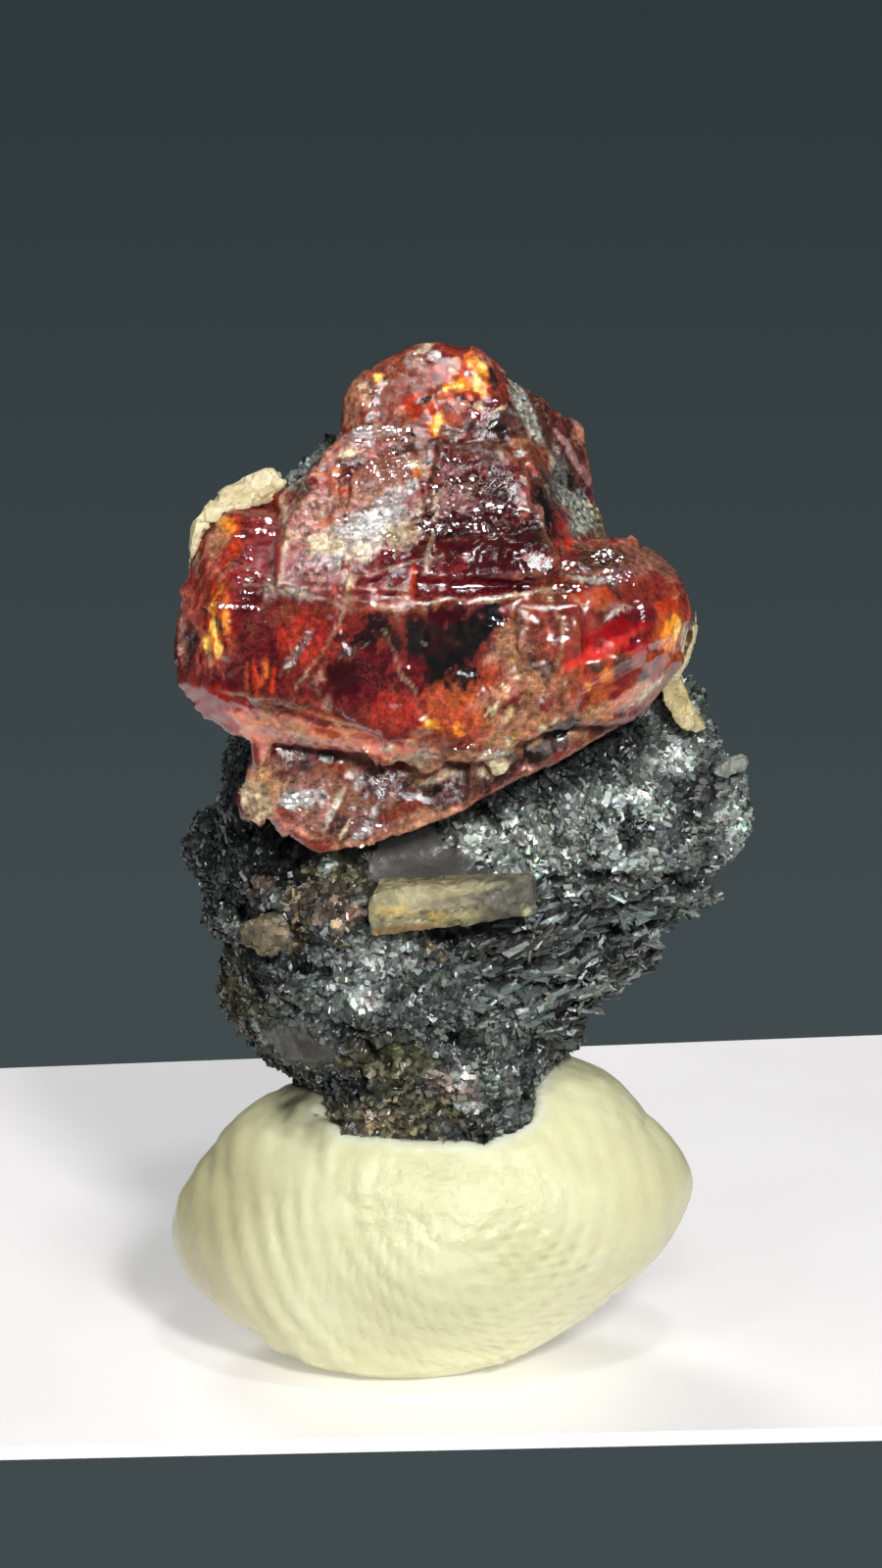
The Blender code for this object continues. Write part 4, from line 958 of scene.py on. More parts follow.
def zircon_material():
    """Red glass under zones of other colours, mottled and broken into grains where it is cloudy, with a
    painted glow of its own, mostly in its amber and gold zones.
    """
    made, tree, shader = new_material("zircon_glass", IOR=ZIRCON_IOR)
    grain, clear, dull, glow = (value_at(tree, name) for name in ("grain", "clear", "dull", "glow"))
    top, number, gap = cells(tree, 0.11)
    fine = noise_value(tree, 0.16, detail=9, roughness=0.75)
    streak = noise_value(tree, 0.7, detail=5, roughness=0.65, stretch=(2.2, 2.2, 0.9))
    speckle = times(tree, minus(tree, number, 0.45), grain)
    mottle = ramp(tree, fine, [(0.32, 0.25), (0.5, 0.9), (0.7, 2.2)])
    value = plus(tree, mottle, times(tree, speckle, 1.3))
    value = math_node(tree, "MAXIMUM", value, 0.12)
    value = times(tree, value, ramp(tree, streak, [(0.35, 0.7), (0.65, 1.3)]))
    seam = times(tree, ramp(tree, gap, [(0.5, 0.0), (0.85, 0.6)]), grain)
    value = times(tree, value, minus(tree, 1.0, seam))
    plain = ramp(tree, fine, [(0.3, 0.85), (0.7, 1.15)])
    calm = times(tree, grain, 12.0)
    value = node(tree, "Mix", {0: calm, 2: plain, 3: value}, clamp_factor=True).outputs[0]
    colour = brightened(tree, tint_at(tree), value)
    thready = times(tree, threads(tree), ramp(tree, grain, [(0.05, 0.0), (0.2, 1.0)]))
    colour = mixed(tree, thready, colour, THREAD_COLOUR)
    tree.links.new(colour, shader.inputs["Base Color"])
    # Painted glow: the colour given off as light of its own, as strong as the glow value.
    tree.links.new(colour, shader.inputs["Emission Color"])
    tree.links.new(glow, shader.inputs["Emission Strength"])

    tree.links.new(clear, shader.inputs["Transmission Weight"])
    roughness = plus(tree, dull, ramp(tree, fine, [(0.3, 0.02), (0.8, 0.12)]))
    tree.links.new(roughness, shader.inputs["Roughness"])
    translucent(shader, 0.3, (0.9, 0.25, 0.2))
    facet = bump(tree, shader, top, times(tree, grain, 0.9), 0.12)
    wavy = ramp(tree, grain, [(0.05, 0.15), (0.35, 0.5)])
    bump(tree, facet, fine, wavy, 0.04)

    volume = node(tree, "VolumeAbsorption", {"Color": ABSORPTION_COLOUR, "Density": ABSORPTION_DENSITY})
    tree.links.new(volume.outputs["Volume"], tree.nodes["Material Output"].inputs["Volume"])
    return made


def threads(tree):
    """How far a place is on one of the fine pale threads of healed cracks, from 0 to 1."""
    where = node(tree, "TexCoord").outputs["Object"]
    bend = node(tree, "TexNoise", {"Vector": where, "Scale": 1 / (0.14 * MM), "Detail": 2.0})
    push = {0: bend.outputs["Color"], 1: (0.16 * MM,) * 3, 2: where}
    bent = node(tree, "VectorMath", push, operation="MULTIPLY_ADD")
    spacing = {"Vector": bent.outputs[0], "Scale": 1 / (THREAD_SPACING * MM)}
    web = node(tree, "TexVoronoi", spacing, feature="DISTANCE_TO_EDGE")
    line = ramp(tree, web.outputs["Distance"], [(0.0, 0.45), (0.09, 0.0)])
    where_healed = ramp(tree, noise_value(tree, 0.25, detail=3), [(0.52, 0.0), (0.6, 1.0)])
    return times(tree, line, where_healed)


# ---------------------------------------------------------------- matrix rock

MICA_IOR = 1.6

# The rock's looks: colour, shine and graininess.
ROCK_STYLES = {
    "biotite": style(76, 80, 77, 0.6, 1.0),
    "slate": style(106, 112, 108, 0.8, 1.0),
    "silver": style(178, 186, 180, 1.0, 1.0),
    "bright": style(226, 230, 224, 1.0, 1.0),
    "dark": style(48, 51, 51, 0.4, 1.0),
    "black": style(20, 21, 22, 0.2, 0.8),
    "coal": style(98, 98, 92, 0.3, 0.35),
    "olive": style(94, 90, 68, 0.4, 1.0),
    "olive_pale": style(112, 106, 78, 0.4, 0.8),
    "umber": style(96, 85, 73, 0.3, 1.0),
    "rust": style(104, 90, 78, 0.3, 0.9),
    "brick": style(122, 94, 82, 0.2, 0.8),
    "pink": style(160, 144, 132, 0.5, 1.0),
    "tan": style(146, 130, 100, 0.3, 0.9),
    "facet": style(88, 85, 79, 0.2, 0.15),
    "chip": style(226, 190, 150, 0.2, 0.3),
    "plate": style(92, 90, 86, 0.0, 0.04),
}
# Where they lie, as for the crystal.
ROCK_ZONES = from_photo({
    "shoulder to the right": [
        ("slate", 620, 850, 140, 76, 15), ("silver", 580, 850, 110, 44, 15),
        ("slate", 690, 800, 70, 44, 20), ("slate", 700, 760, 60, 50, -30),
        ("slate", 745, 860, 32, 70, 0), ("silver", 540, 850, 74, 38, 20),
        ("bright", 505, 868, 46, 26, 10), ("bright", 560, 882, 46, 18, 10),
        ("silver", 520, 880, 50, 20, -5), ("silver", 600, 895, 60, 22, 10),
        ("silver", 748, 850, 16, 40, 0), ("slate", 690, 850, 40, 40, 0),
        # Painted shadow: the first dark zone below is a band along the crystal's lower edge.
        ("dark", 600, 770, 90, 22, 27), ("dark", 700, 800, 30, 34, 0),
        ("silver", 640, 830, 46, 26, 20), ("silver", 690, 730, 24, 20, 0),
    ],
    "under the overhang, and the left flank": [
        # Painted shadow: the two black zones darken the rock under the crystal's overhang.
        ("dark", 215, 850, 32, 110, 0), ("black", 265, 880, 64, 44, 0),
        ("black", 300, 880, 50, 30, -20), ("dark", 225, 930, 34, 60, 0),
        ("umber", 262, 905, 14, 10, 0), ("slate", 226, 955, 26, 16, -10),
        ("olive", 250, 1010, 50, 44, 0), ("olive_pale", 242, 1030, 14, 26, 0),
        ("dark", 290, 990, 36, 26, 0), ("slate", 330, 1020, 46, 34, 0),
    ],
    "brown ground left of the lath": [
        ("olive", 345, 895, 34, 26, 0), ("umber", 322, 920, 34, 18, 10), ("rust", 300, 925, 14, 10, 0),
        ("rust", 352, 930, 22, 14, 20), ("brick", 360, 932, 12, 12, 0), ("pink", 345, 948, 10, 9, 0),
        ("tan", 296, 912, 6, 9, 0), ("tan", 300, 950, 14, 18, -10), ("coal", 366, 918, 9, 8, 0),
        ("silver", 335, 882, 10, 7, 0),
    ],
    "pale mosaic under the lath": [
        ("silver", 385, 985, 44, 34, -10), ("bright", 386, 972, 22, 14, 0),
        ("bright", 352, 1004, 14, 9, 20), ("bright", 420, 985, 16, 8, 0),
        ("bright", 372, 1022, 14, 10, 0), ("silver", 410, 960, 14, 9, 0),
        ("slate", 460, 1000, 60, 34, 0), ("slate", 520, 1040, 60, 40, 20),
    ],
    "layers to the lower right": [
        ("slate", 630, 960, 80, 60, 20), ("dark", 620, 980, 70, 9, 12),
        ("silver", 600, 930, 66, 8, 14), ("slate", 650, 905, 60, 10, 14),
        ("silver", 640, 960, 40, 6, 16), ("slate", 610, 1000, 50, 10, 10),
        ("dark", 600, 1030, 50, 8, 14), ("silver", 620, 1010, 22, 5, 10),
        ("dark", 590, 1060, 30, 8, 20), ("coal", 500, 966, 62, 13, 2), ("slate", 470, 1010, 60, 30, 0),
        # The black spot below the lath's right end is painted shade in the hollow there.
        ("black", 462, 966, 16, 12, -30), ("chip", 440, 962, 5, 13, -20),
        ("chip", 452, 976, 6, 5, -40), ("chip", 345, 945, 5, 4, 0), ("slate", 530, 990, 60, 10, 5),
    ],
    "foot": [
        ("dark", 290, 1110, 40, 30, -30), ("facet", 312, 1074, 46, 17, -22),
        ("olive", 395, 1085, 46, 26, 0), ("olive", 410, 1130, 60, 20, 0),
        ("umber", 365, 1140, 30, 14, 0), ("tan", 400, 1150, 34, 8, -4), ("rust", 405, 1146, 14, 6, 0),
        ("olive", 352, 1138, 22, 14, 0), ("pink", 462, 1106, 26, 18, 0),
        ("bright", 470, 1100, 8, 12, -30), ("pink", 480, 1122, 16, 8, 0),
        ("bright", 478, 1128, 14, 5, 0), ("slate", 515, 1100, 30, 34, 0),
        ("dark", 540, 1100, 12, 40, 0), ("slate", 520, 1140, 26, 14, 0),
        ("dark", 350, 1110, 40, 14, -10),
    ],
    "over the rest, where the render still differed most": [
        ("dark", 644, 846, 13, 28, 0), ("slate", 612, 844, 14, 20, 0), ("slate", 498, 942, 30, 8, 2),
        ("bright", 402, 966, 14, 9, 0), ("silver", 700, 748, 16, 16, 0),
        ("silver", 306, 462, 30, 18, -35), ("slate", 498, 984, 30, 8, 3),
        ("silver", 692, 776, 24, 16, 0), ("bright", 690, 772, 12, 8, 0),
        ("bright", 540, 848, 34, 14, 10), ("slate", 612, 946, 26, 12, 0),
        ("dark", 628, 960, 26, 12, 0), ("slate", 354, 992, 13, 13, 0), ("slate", 484, 972, 30, 14, 0),
    ],
})
ROCK_DRIFTS = [("slate", 1.6, 111, 0.2), ("dark", 1.3, 113, 0.4), ("olive", 1.1, 115, 0.7)]
# The layers: which way they face and how thick they are, then the wedge at the lower right where
# they show, and the shoulder above it, which the mica slants down.
FOLIATION = np.array((-0.40, -0.05, 0.92)) / np.linalg.norm((-0.40, -0.05, 0.92))
LAYER_THICKNESS = 0.75
WEDGE = [((3.4, 0.0, 9.9), (3.3, 3.6, 2.4))]
SHOULDER = [((4.0, -1.0, 13.3), (4.2, 3.4, 2.4))]
ROCK_RELIEF = (-0.5, 0.12)
# A smooth plate's outline and the dark cracks between layers, as places in the reference view.
PLATE = [(-1.32, -1.14), (-0.3, -0.93), (0.23, -1.45), (0.8, -1.86), (1.61, -2.18), (0.8, -2.32),
         (-1.32, -2.48), (-1.8, -2.07)]
CRACKS = [
    [(-0.2, -3.43), (0.8, -4.14), (2.23, -4.14), (3.09, -4.0), (3.66, -3.57), (5.39, -3.0)],
    [(1.09, -4.57), (2.8, -4.73), (4.23, -4.43), (5.23, -4.0)],
    [(1.66, -3.57), (2.8, -3.2), (3.95, -2.86), (5.52, -2.43), (7.09, -2.14)],
    [(2.52, -5.3), (3.66, -5.0), (4.95, -4.43)],
    [(1.8, -2.27), (3.66, -2.2), (5.52, -2.27), (6.52, -2.14)],
    [(-5.8, -3.3), (-4.8, -3.86), (-3.8, -4.14), (-2.64, -4.43)],
    [(-5.8, -2.6), (-4.9, -2.9), (-4.2, -3.4)],
    [(0.2, -5.9), (1.2, -6.3), (2.0, -6.2)],
    [(-3.4, -5.3), (-2.3, -5.7), (-1.3, -6.4)],
]
CRACK_WIDTH = 0.15
# A smaller smooth face low on the left.
FACET_FACE = [(-3.14, -6.23, 1.05, 0.42, -22)]
# Mica flakes: how many meshes hold them, how many places each mesh tries, and the height below
# which the putty hides them.
FLAKE_PARTS = 2
FLAKES = 16500
FLAKES_ABOVE = 5.7
FLAKE_SIZES = ((0.06, 0.14), (0.045, 0.09), (0.03, 0.045))


def make_matrix():
    """The black mica rock: the CAD solid refined, split along its layers and broken into grains."""
    rock = fine_copy("biotite_matrix", "mica_rock", MATRIX_GRAIN)
    places, normals = mesh_places(rock), mesh_normals(rock)
    plate = inside_outline(places, normals, PLATE)
    smooth = np.maximum(plate, marked(places, normals, FACET_FACE, 81))
    crack = near_lines(places, normals, CRACKS, CRACK_WIDTH) * np.clip(0.8 + rough(places, 0.8, 49), 0, 1)
    wedge = in_wedge(places)
    layer = places @ FOLIATION / LAYER_THICKNESS + 0.35 * rough(places, 1.6, 43)
    step = (layer % 1 - 0.55) * wedge
    stretched = places + np.outer(places @ FOLIATION, FOLIATION) * 1.5
    tilted, _, seam = facets(stretched, 0.62, 44, 0.5)
    ribbon, _, _ = facets(0.4 * places + np.outer(places @ FOLIATION, FOLIATION) * 2.6, 0.6, 45, 0.5)
    tilted += (ribbon - tilted) * wedge
    fine, number, fine_seam = facets(places, 0.34, 47, 0.4)
    height = 0.13 * rough(places, 1.5, 41) + 0.42 * step + 0.5 * tilted + 0.5 * fine
    height -= 0.1 * np.clip(1 - seam / 0.08, 0, 1) + 0.05 * np.clip(1 - fine_seam / 0.06, 0, 1)
    height = height * (1 - 0.95 * smooth) - 0.05 - 0.3 * crack
    rows = rock_rows(places, normals)
    rows[:, :3] *= 0.64 * (1 + 0.45 * number * (1 - smooth))[:, None] * (1 - 0.8 * crack)[:, None]
    rows[:, :3] *= (1 - 0.55 * np.clip(1 - fine_seam / 0.05, 0, 1) * (1 - smooth))[:, None]
    rows += (ROCK_STYLES["plate"] - rows) * plate[:, None]
    set_places(rock, places + normals * np.clip(height, *ROCK_RELIEF)[:, None])
    set_colours(rock, rows[:, :3])
    set_values(rock, "shine", rows[:, 3])
    set_values(rock, "grain", rows[:, 4])
    dress_rock(rock, "mica_rock")

    for part in range(FLAKE_PARTS):
        make_flakes(rock, "mica_flakes_%d" % part, np.random.default_rng(8 + part))


def in_wedge(places):
    return near(places, WEDGE, wobble=0.2)


def make_flakes(rock, name, rng):
    """Mica flakes lying on the rock like tiles, long ones along its layers."""
    spots, outward = scattered(rock, FLAKES, rng, keep=bare_of_flakes)
    lengthwise = flake_directions(spots)
    wedge = in_wedge(spots)[:, None]
    lengthwise += rng.normal(0, 0.25, spots.shape) * (1 - 0.8 * wedge)
    lengthwise -= outward * (lengthwise * outward).sum(axis=1)[:, None]
    facing = outward + rng.normal(0, 0.13, spots.shape) * (1 - 0.5 * wedge)
    stretch = 1 + 2.2 * wedge
    flakes = flakes_mesh(name, spots - 0.025 * outward, lengthwise, facing, FLAKE_SIZES, rng, stretch)
    dress_flakes(flakes, spots, outward, rng)


def rock_rows(places, normals):
    """The rock's look at each place: drifting black, under the zones, lighter or darker by block."""
    rows = drifted(places, ROCK_STYLES, "biotite", ROCK_DRIFTS)
    rows = painted(places, normals, rows, ROCK_STYLES, ROCK_ZONES, 77)
    _, block, _ = facets(places, 0.7, 118, 0)
    rows[:, :3] *= (1 + 0.4 * block * np.clip(rows[:, 4], 0, 1))[:, None]
    return rows


def dress_flakes(flakes, spots, outward, rng):
    """Gives each flake the rock's look at its spot, lighter or darker by chance."""
    rows = rock_rows(spots, outward)
    rows[:, :3] *= np.clip(np.exp(rng.normal(-0.03, 0.6, (len(spots), 1))), 0.2, 2.6)
    rows[:, :3] *= rng.normal(1, 0.06, (len(spots), 3))
    repeats = len(flakes.data.vertices) // len(spots)
    set_colours(flakes, np.repeat(rows[:, :3], repeats, axis=0))
    set_values(flakes, "shine", np.repeat(rows[:, 3], repeats))
    set_values(flakes, "grain", np.repeat(rows[:, 4] * 0.2, repeats))
    dress_rock(flakes, flakes.name)


def bare_of_flakes(places, normals):
    """Picks the places that get flakes: not the smooth faces, and not what the putty hides."""
    bare = np.maximum(inside_outline(places, normals, PLATE), marked(places, normals, FACET_FACE, 81))
    bare = np.maximum(bare, near_lines(places, normals, CRACKS, CRACK_WIDTH))
    return (bare < 0.4) & (places[:, 2] > FLAKES_ABOVE)


def flake_directions(places):
    """How the mica lies: upright on the shoulder's left, slanting down it, flat in the wedge."""
    shoulder = near(places, SHOULDER, wobble=0.1)
    turn = 1.5 - 0.27 * (places[:, 0] - 0.5) + 0.5 * rough(places, 1.8, 61, octaves=2)
    slant = np.stack([np.cos(turn), 0.2 * np.ones(len(places)), -np.sin(turn)], axis=1)
    swirl = np.stack([rough(places, 1.4, 63 + i, octaves=2) for i in range(3)], axis=1)
    layered = np.array((0.9, 0.1, 0.4)) + 0.12 * swirl
    wedge = in_wedge(places)[:, None]
    mix = slant * shoulder[:, None] + swirl * (1 - shoulder[:, None])
    return mix * (1 - wedge) + layered * wedge


def dress_rock(piece, material_name):
    piece.data.materials.append(rock_material(material_name))
    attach(piece, "root")
    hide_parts("biotite_matrix")


def rock_material(name):
    """Mica: shiny dark grains with darker seams between them."""
    made, tree, shader = new_material(name, IOR=MICA_IOR)
    shine, grain = value_at(tree, "shine"), value_at(tree, "grain")
    top, number, gap = cells(tree, 0.2, stretch=(1.25, 1.0, 0.8), turn=(0.2, 0.4, 0.3))
    fine = noise_value(tree, 0.16, detail=5)
    bright = ramp(tree, number, [(0.0, 0.5), (0.5, 0.95), (0.85, 1.4), (1.0, 2.2)])
    seam = ramp(tree, gap, [(0.5, 1.0), (0.8, 0.35)])
    value = times(tree, bright, seam)
    value = plus(tree, value, ramp(tree, fine, [(0.35, -0.2), (0.65, 0.25)]))
    plain = ramp(tree, fine, [(0.3, 0.85), (0.7, 1.15)])
    value = node(tree, "Mix", {0: grain, 2: plain, 3: math_node(tree, "MAXIMUM", value, 0.1)})
    tree.links.new(brightened(tree, tint_at(tree), value.outputs[0]), shader.inputs["Base Color"])
    metal = times(tree, shine, ramp(tree, number, [(0.5, 0.0), (1.0, 0.55)]))
    tree.links.new(metal, shader.inputs["Metallic"])
    tree.links.new(ramp(tree, fine, [(0.3, 0.2), (0.7, 0.48)]), shader.inputs["Roughness"])
    strength = times(tree, grain, 0.9)
    facet = bump(tree, shader, minus(tree, top, times(tree, gap, 0.35)), strength, 0.17)
    bump(tree, facet, fine, 0.4, 0.03)
    return made


# ---------------------------------------------------------------- putty

# The fingerprint: rings of ridges about a middle in the reference view, cut into beads.
PRINT_MIDDLE = (0.66, -9.64)
RIDGE_PERIOD = 0.46
RIDGE_HEIGHT = 0.04
BEAD_LENGTH = 0.42
# Where the skin is creased: how far apart the creases are, and how deep.
CREASE_SPACING = 0.34
CREASE_DEPTH = 0.022
# Where the skin's creases left small plates between them.
SKIN = [(0.25, -9.7, 2.6, 1.0, 0)]
# The pad's blunt ends, as ellipsoids.
TIPS = [((-6.2, 0.0, 4.0), (1.6, 4.0, 2.5)), ((6.2, 0.0, 5.0), (1.6, 4.0, 2.5))]
TIP_PASSES = 30
# Where the pad is fuller, and by how much: under both ends, at both shoulders by the rock, and
# along the rock's foot in front.
FULLER = [
    (0.22, (-5.2, -1.5, 2.6), (1.8, 3.0, 1.3)), (0.22, (5.6, -1.0, 3.6), (1.8, 3.0, 1.5)),
    (0.3, (-3.5, -0.5, 6.3), (1.5, 2.6, 1.3)), (0.3, (3.5, 0.5, 6.8), (1.3, 2.6, 1.2)),
    (0.22, (-5.0, -0.5, 4.8), (1.3, 2.6, 1.5)),
    (0.34, (-0.4, -3.3, 5.9), (1.6, 1.6, 0.9)),
]
# The pad in the rock's shade, darkened there by painted shade.
SHADED = [((-2.95, -1.3, 6.8), (1.0, 2.2, 0.95))]
PUTTY_COLOURS = (linear(224, 222, 176), linear(238, 237, 196))
GROOVE_COLOUR = linear(204, 190, 146)
# Colours of painted shade: at the pad's ends, and where the rock shades it.
END_SHADE_COLOUR = linear(184, 176, 132)
SHADED_COLOUR = linear(86, 82, 58)
LIP_COLOUR = linear(228, 230, 212)


def make_putty(rock_tree):
    """The pad of putty: its thumbed surface, the fingerprint's ridges and a lip round the rock."""
    pad = fine_copy("display_putty", "putty_pad", PUTTY_GRAIN)
    rounded(pad, near(mesh_places(pad), TIPS, wobble=0.0), TIP_PASSES)
    places, normals = mesh_places(pad), mesh_normals(pad)
    to_rock = np.array([rock_tree.find_nearest(Vector(p) * MM)[3] / MM for p in places])
    free = np.clip((to_rock - 0.15) / 0.4, 0, 1) * np.clip(places[:, 2] / 0.4, 0, 1)

    ridges, print_share, under = fingerprint(places, normals, free)
    skin = marked(places, normals, SKIN, 55) * free
    height = RIDGE_HEIGHT * ridges * print_share
    height += CREASE_DEPTH * (skin_plates(places) - 1) * np.maximum(skin, 0.4 * under * free)
    height += (0.008 * rough(places, 0.4, 58) + 0.05 * rough(places, 2.6, 59, octaves=2)) * free
    for rise, middle, half in FULLER:
        height += rise * near(places, [(middle, half)], wobble=0.0, edge=1.0)
    lip = np.exp(-(((to_rock - 0.16) / 0.1) ** 2))
    set_places(pad, places + normals * (height + 0.03 * lip)[:, None])

    set_values(pad, "lip", lip)
    # Painted shade, darkest at the pad's left end and lighter at its right.
    set_values(pad, "end_shade", shade_towards_ends(places))
    # Painted shade where the rock shades the pad.
    set_values(pad, "shaded", near(places, SHADED, edge=0.7))
    set_values(pad, "skin", skin)
    set_values(pad, "ridge", 0.5 - 0.5 * ridges * print_share)
    smooth_shaded(pad)
    pad.data.materials.append(putty_material())
    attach(pad, "root")
    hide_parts("display_putty")


def fingerprint(places, normals, free):
    """The print's ridges from -1 to 1, how strong they are, and how far a place is under its middle."""
    out = seen(places) - PRINT_MIDDLE
    radius = np.hypot(out[:, 0], out[:, 1]) + 0.14 * rough(places, 2.2, 51, octaves=2)
    left, down = -out[:, 0] / radius, -out[:, 1] / radius
    rings = np.clip(radius - 3.3, 0, 1) * np.clip(1.5 * left, 0, 1) * np.clip(0.75 + 1.2 * down, 0.35, 1)
    under = np.clip(2 * radius - 1.6, 0, 1) * np.clip(5.0 - radius, 0, 1) * np.clip(2 * down - 0.2, 0, 1)
    faint = np.clip(0.75 + 0.5 * rough(places, 1.2, 53) + 0.35 * rough(places, 0.4, 54), 0.1, 1.2)
    strength = np.maximum(np.maximum(rings, 1.4 * under), 0.25) * faint * facing_view(normals) * free
    along = np.arctan2(out[:, 1], out[:, 0]) * radius / BEAD_LENGTH + 0.4 * rough(places, 0.8, 52)
    beads = 1 - (0.3 + 1.1 * under) * (0.5 - 0.5 * np.sin(2 * math.pi * along))
    return np.sin(2 * math.pi * radius / RIDGE_PERIOD) * beads, strength, under


def skin_plates(places):
    """The height of the small plates between the skin's creases."""
    _, plate, seam = facets(places * (1.0, 1.0, 1.3), CREASE_SPACING, 56, 0)
    return 0.6 * plate + np.clip(seam / 0.06, 0, 1) + 0.3 * rough(places, 0.2, 57, octaves=2)


def shade_towards_ends(places):
    """How much painted shade darkens each place: most at the pad's left end, less at its right."""
    along_pad = places[:, 0] + 0.4 * rough(places, 1.5, 60)
    left = np.clip((-2.6 - along_pad) / 2.2, 0, 1)
    return np.maximum(left, 0.3 * np.clip((along_pad - 3.4) / 2, 0, 1))


def putty_material():
    """Pale yellow-green tack with a soft sheen, a little browner in the fingerprint's grooves, darkened by
    painted shade at its ends and where the rock shades it.
    """
    made, tree, shader = new_material("mineral_tack", Roughness=0.26, Specular_IOR_Level=0.5)
    translucent(shader, 0.3, (1.2, 1.1, 0.7))
    patch = noise_value(tree, 2.2, detail=4)
    fine = noise_value(tree, 0.16, detail=6)
    cloud = ramp(tree, patch, [(0.3, 0.0), (0.7, 1.0)])
    colour = mixed(tree, cloud, *PUTTY_COLOURS)
    groove = ramp(tree, value_at(tree, "ridge"), [(0.5, 0.0), (1.0, 0.35)])
    colour = mixed(tree, groove, colour, GROOVE_COLOUR)
    # Painted shade towards the pad's ends.
    end_shade = times(tree, value_at(tree, "end_shade"), 0.75)
    colour = mixed(tree, end_shade, colour, END_SHADE_COLOUR)
    # Painted shade where the rock shades the pad; the pale lip fades there.
    shaded = times(tree, value_at(tree, "shaded"), 0.95)
    colour = mixed(tree, shaded, colour, SHADED_COLOUR)
    lit = minus(tree, 0.6, times(tree, value_at(tree, "shaded"), 0.6))
    lip = times(tree, value_at(tree, "lip"), lit)
    colour = mixed(tree, lip, colour, LIP_COLOUR)
    tree.links.new(colour, shader.inputs["Base Color"])
    strength = plus(tree, times(tree, value_at(tree, "skin"), 0.7), 0.3)
    blocks, _, _ = cells(tree, 0.24)
    bump(tree, shader, plus(tree, fine, blocks), strength, 0.05)
    return made


# ---------------------------------------------------------------- feldspar

FELDSPAR_IOR = 1.53
# Each pale grain: darker and lighter colours, clearness, size of its facets and depth of relief.
GRAINS = {
    "feldspar_lath": (linear(112, 104, 80), linear(166, 156, 122), 0.25, 0.3, 1.0),
    "feldspar_rim_left": (linear(206, 186, 140), linear(244, 230, 188), 0.1, 0.4, 2.0),
    "feldspar_rim_right": (linear(206, 184, 138), linear(234, 216, 172), 0.1, 0.4, 1.0),
    "feldspar_blade_right": (linear(196, 176, 128), linear(226, 208, 160), 0.1, 0.4, 1.0),
    "feldspar_grain_shoulder": (linear(116, 120, 112), linear(176, 180, 168), 0.1, 0.3, 1.5),
    "feldspar_grain_left": (linear(58, 54, 44), linear(146, 132, 104), 0.1, 0.3, 3.2),
}
# The blade's broader upper end.
GRAIN_LUMPS = {
    "feldspar_blade_right": [
        [(5.2, -1.95, 16.78), (5.65, -1.9, 16.92), (5.95, -1.85, 16.36), (6.05, -1.8, 15.74),
         (5.72, -1.85, 15.65), (5.36, -1.95, 16.26), (5.7, -0.9, 16.7), (6.0, -0.9, 15.8)],
    ],
}
# The lath's right end is greyer, and its lower left edge is stained orange.
LATH_ZONES = [
    ("pale", -1.0, -2.7, 0.9, 0.45, 8), ("body", 0.6, -2.8, 0.8, 0.6, 0),
    ("grey", 1.7, -2.7, 0.9, 0.7, 0),
    # Painted light: the two thin pale strips below lighten the lath's lower face, which looks away from the
    # light.
    ("pale", -0.5, -3.16, 0.9, 0.13, 8), ("pale", 0.5, -3.06, 0.5, 0.1, 6),
    ("pale", 0.2, -2.52, 1.1, 0.1, 9), ("pale", 2.0, -2.98, 0.1, 0.1, 0),
    ("stain", -0.9, -3.42, 0.8, 0.12, 8),
    ("yellow", -0.05, -3.1, 0.28, 0.16, 0), ("yellow", -1.1, -2.95, 0.4, 0.14, 0),
]
LATH_STYLES = {
    "grey": style(98, 94, 82), "pale": style(182, 172, 132), "stain": style(176, 138, 92),
    "yellow": style(196, 172, 112), "body": style(150, 140, 110),
}


def make_grain(name, dark, light, clearness, size, relief, seed):
    """One feldspar grain: the CAD solid refined and faceted, with the lath's stains and painted light."""
    grain = fine_copy(name, name + "_mineral", FELDSPAR_GRAIN, extras=GRAIN_LUMPS.get(name, []))
    places, normals = mesh_places(grain), mesh_normals(grain)
    broken, shard, _ = facets(places, size, seed, 0.4)
    height = relief * (0.4 * broken + 0.02 * rough(places, 0.4, seed + 1))
    set_places(grain, places + normals * np.clip(height, -0.08 * relief, 0.05)[:, None])
    share = np.clip(0.5 + 0.45 * rough(places, 1.2 * size, seed + 3) + 0.25 * shard, 0, 1)[:, None]
    rows = np.array(dark) * (1 - share) + np.array(light) * share
    if name == "feldspar_lath":
        mottle = rows / LATH_STYLES["body"]
        rows = painted(places, normals, rows, LATH_STYLES, LATH_ZONES, seed) * (0.5 + 0.6 * mottle)
    set_colours(grain, rows)
    grain.data.materials.append(grain_material(name, clearness))
    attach(grain, "root")
    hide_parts(name)


def grain_material(name, clearness):
    """Cloudy feldspar with fine cracks."""
    made, tree, shader = new_material(
        name + "_mineral", Roughness=0.42, IOR=FELDSPAR_IOR, Transmission_Weight=clearness
    )
    translucent(shader, 0.25, (0.6, 0.5, 0.3))
    top, number, _ = cells(tree, 0.2)
    fine = noise_value(tree, 0.2, detail=7, roughness=0.7)
    mottle = ramp(tree, fine, [(0.3, 0.6), (0.7, 1.2)])
    value = plus(tree, mottle, times(tree, number, 0.25))
    tree.links.new(brightened(tree, tint_at(tree), value), shader.inputs["Base Color"])
    bump(tree, shader, plus(tree, top, fine), 0.4, 0.06)
    return made


# ---------------------------------------------------------------- stage

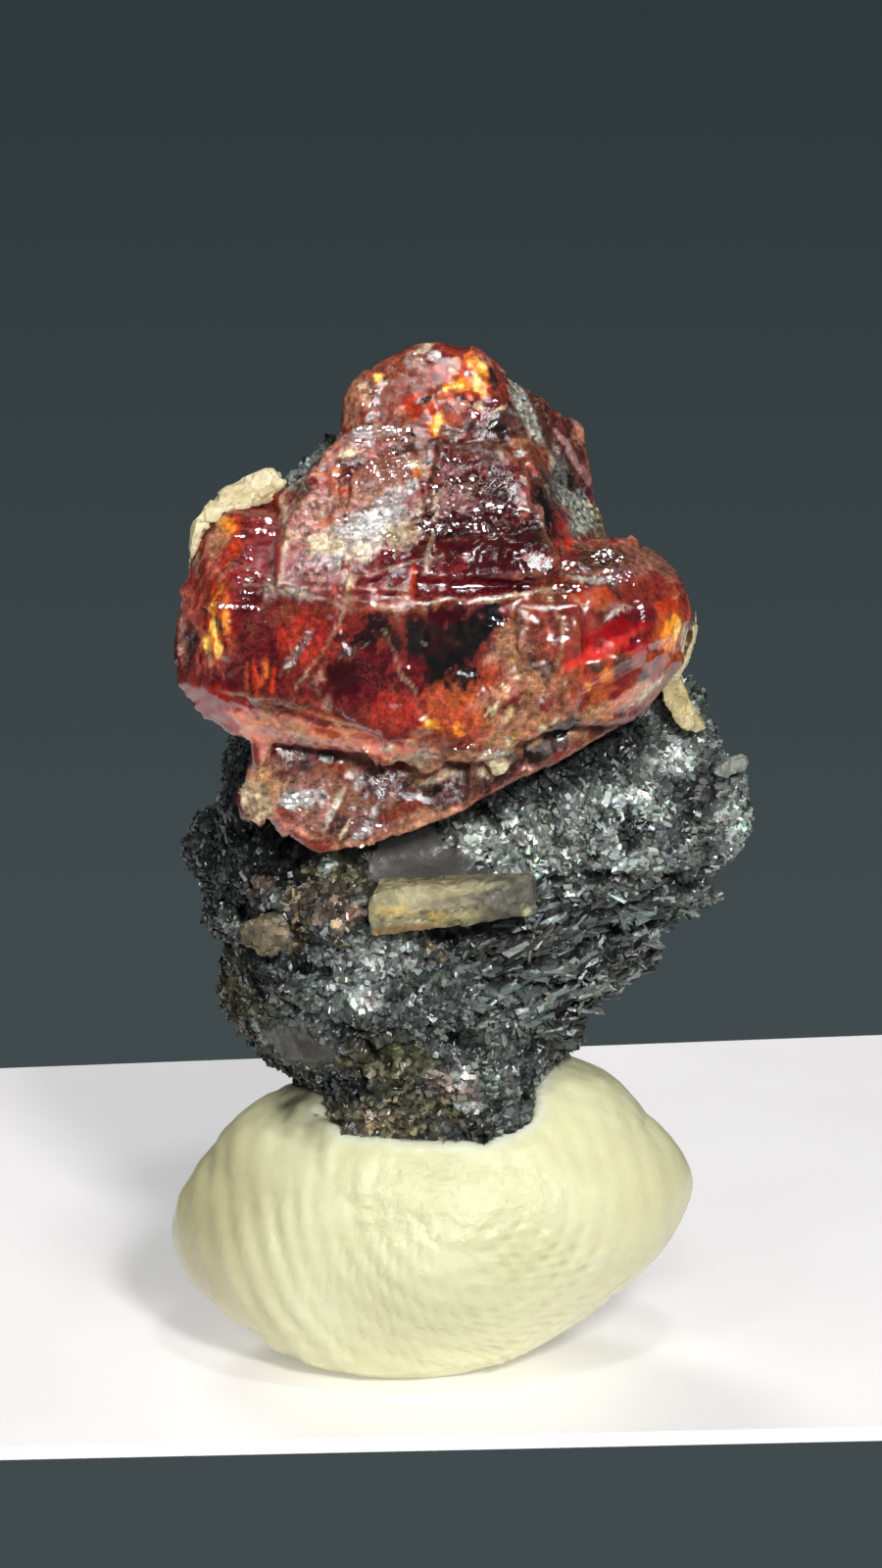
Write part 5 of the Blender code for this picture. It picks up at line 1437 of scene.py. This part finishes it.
# The floor's four top corners, its thickness and colours. It ends behind the specimen.
FLOOR_CORNERS = [(-60, -10, 0), (60, -2.1, 0), (60, 32.3, 0), (-60, 16.6, 0)]
FLOOR_THICKNESS = 0.35
FLOOR_COLOURS = (linear(226, 220, 222), linear(250, 248, 246))
FLOOR_LIFT_COLOUR = (0.95, 0.94, 0.95, 1)
# The surround, from below the horizon to above it, and the heights between which it turns.
WALL_COLOURS = (linear(65, 74, 76), linear(47, 57, 59))
WALL_TURN = (-0.28, -0.18)
# The lights: place, power in watts and size, all aimed at one point, and two without highlights.
LIGHT_AIM = (0, 0, 13)
LIGHTS = {
    "key": (KEY_PLACE, 0.3, 24),
    "second": ((-75, -140, 120), 0.03, 20),
    "top": ((25, -90, 190), 0.07, 20),
    "soft": ((30, -260, 150), 0.34, 500),
    "back": ((-50, 120, 110), 0.12, 60),
}
NO_HIGHLIGHTS = ("soft", "back")


def make_camera():
    """The reference view: the photograph's angle and frame."""
    data = bpy.data.cameras.new("camera")
    camera = bpy.data.objects.new("camera", data)
    bpy.context.scene.collection.objects.link(camera)
    data.sensor_width = SENSOR_WIDTH
    data.lens = SENSOR_WIDTH * VIEW_DISTANCE / VIEW_HEIGHT
    data.clip_start, data.clip_end = 0.01, 5
    camera.location = (Vector(VIEW_CENTRE) - Vector(AWAY) * VIEW_DISTANCE) * MM
    camera.rotation_euler = (math.radians(90 - VIEW_ELEVATION), 0, 0)
    bpy.context.scene.camera = camera


def make_light(name, place, power, size):
    """A soft square light at a place in mm."""
    data = bpy.data.lights.new(name, "AREA")
    data.energy, data.size = power, size * MM
    light = bpy.data.objects.new(name, data)
    bpy.context.scene.collection.objects.link(light)
    light.location = Vector(place) * MM
    light.rotation_euler = (Vector(LIGHT_AIM) - Vector(place)).to_track_quat("-Z", "Y").to_euler()
    light.visible_camera = False
    light.visible_glossy = name not in NO_HIGHLIGHTS


def make_floor():
    """The pale floor, lifted a little by light of its own."""
    bm = bmesh.new()
    add_hull(bm, FLOOR_CORNERS + [(x, y, -FLOOR_THICKNESS) for x, y, _ in FLOOR_CORNERS])
    floor = new_object("floor", bm)
    made, tree, shader = new_material("pale_floor", Roughness=0.35, Emission_Strength=0.22)
    colour = mixed(tree, noise_value(tree, 14, detail=3), *FLOOR_COLOURS)
    tree.links.new(colour, shader.inputs["Base Color"])
    shader.inputs["Emission Color"].default_value = FLOOR_LIFT_COLOUR
    floor.data.materials.append(made)


def make_surround():
    """A dark slate surround, darker above."""
    world = bpy.data.worlds.new("slate")
    world.use_nodes = True
    tree = world.node_tree
    height = node(tree, "SeparateXYZ", {0: node(tree, "TexCoord").outputs["Generated"]}).outputs["Z"]
    turn = {"Value": height, "From Min": WALL_TURN[0], "From Max": WALL_TURN[1]}
    shade = mixed(tree, node(tree, "MapRange", turn).outputs[0], *WALL_COLOURS)
    tree.links.new(shade, tree.nodes["Background"].inputs["Color"])
    bpy.context.scene.world = world


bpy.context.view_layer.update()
bpy.context.scene.view_settings.view_transform = "Standard"
make_camera()
make_glints(make_zircon())
make_matrix()
make_putty(surface_tree(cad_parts["biotite_matrix"]))
for grain_seed, (grain_name, look) in enumerate(GRAINS.items()):
    make_grain(grain_name, *look, 100 + grain_seed)
make_floor()
make_surround()
for light_name, (light_place, light_power, light_size) in LIGHTS.items():
    make_light(light_name, light_place, light_power, light_size)
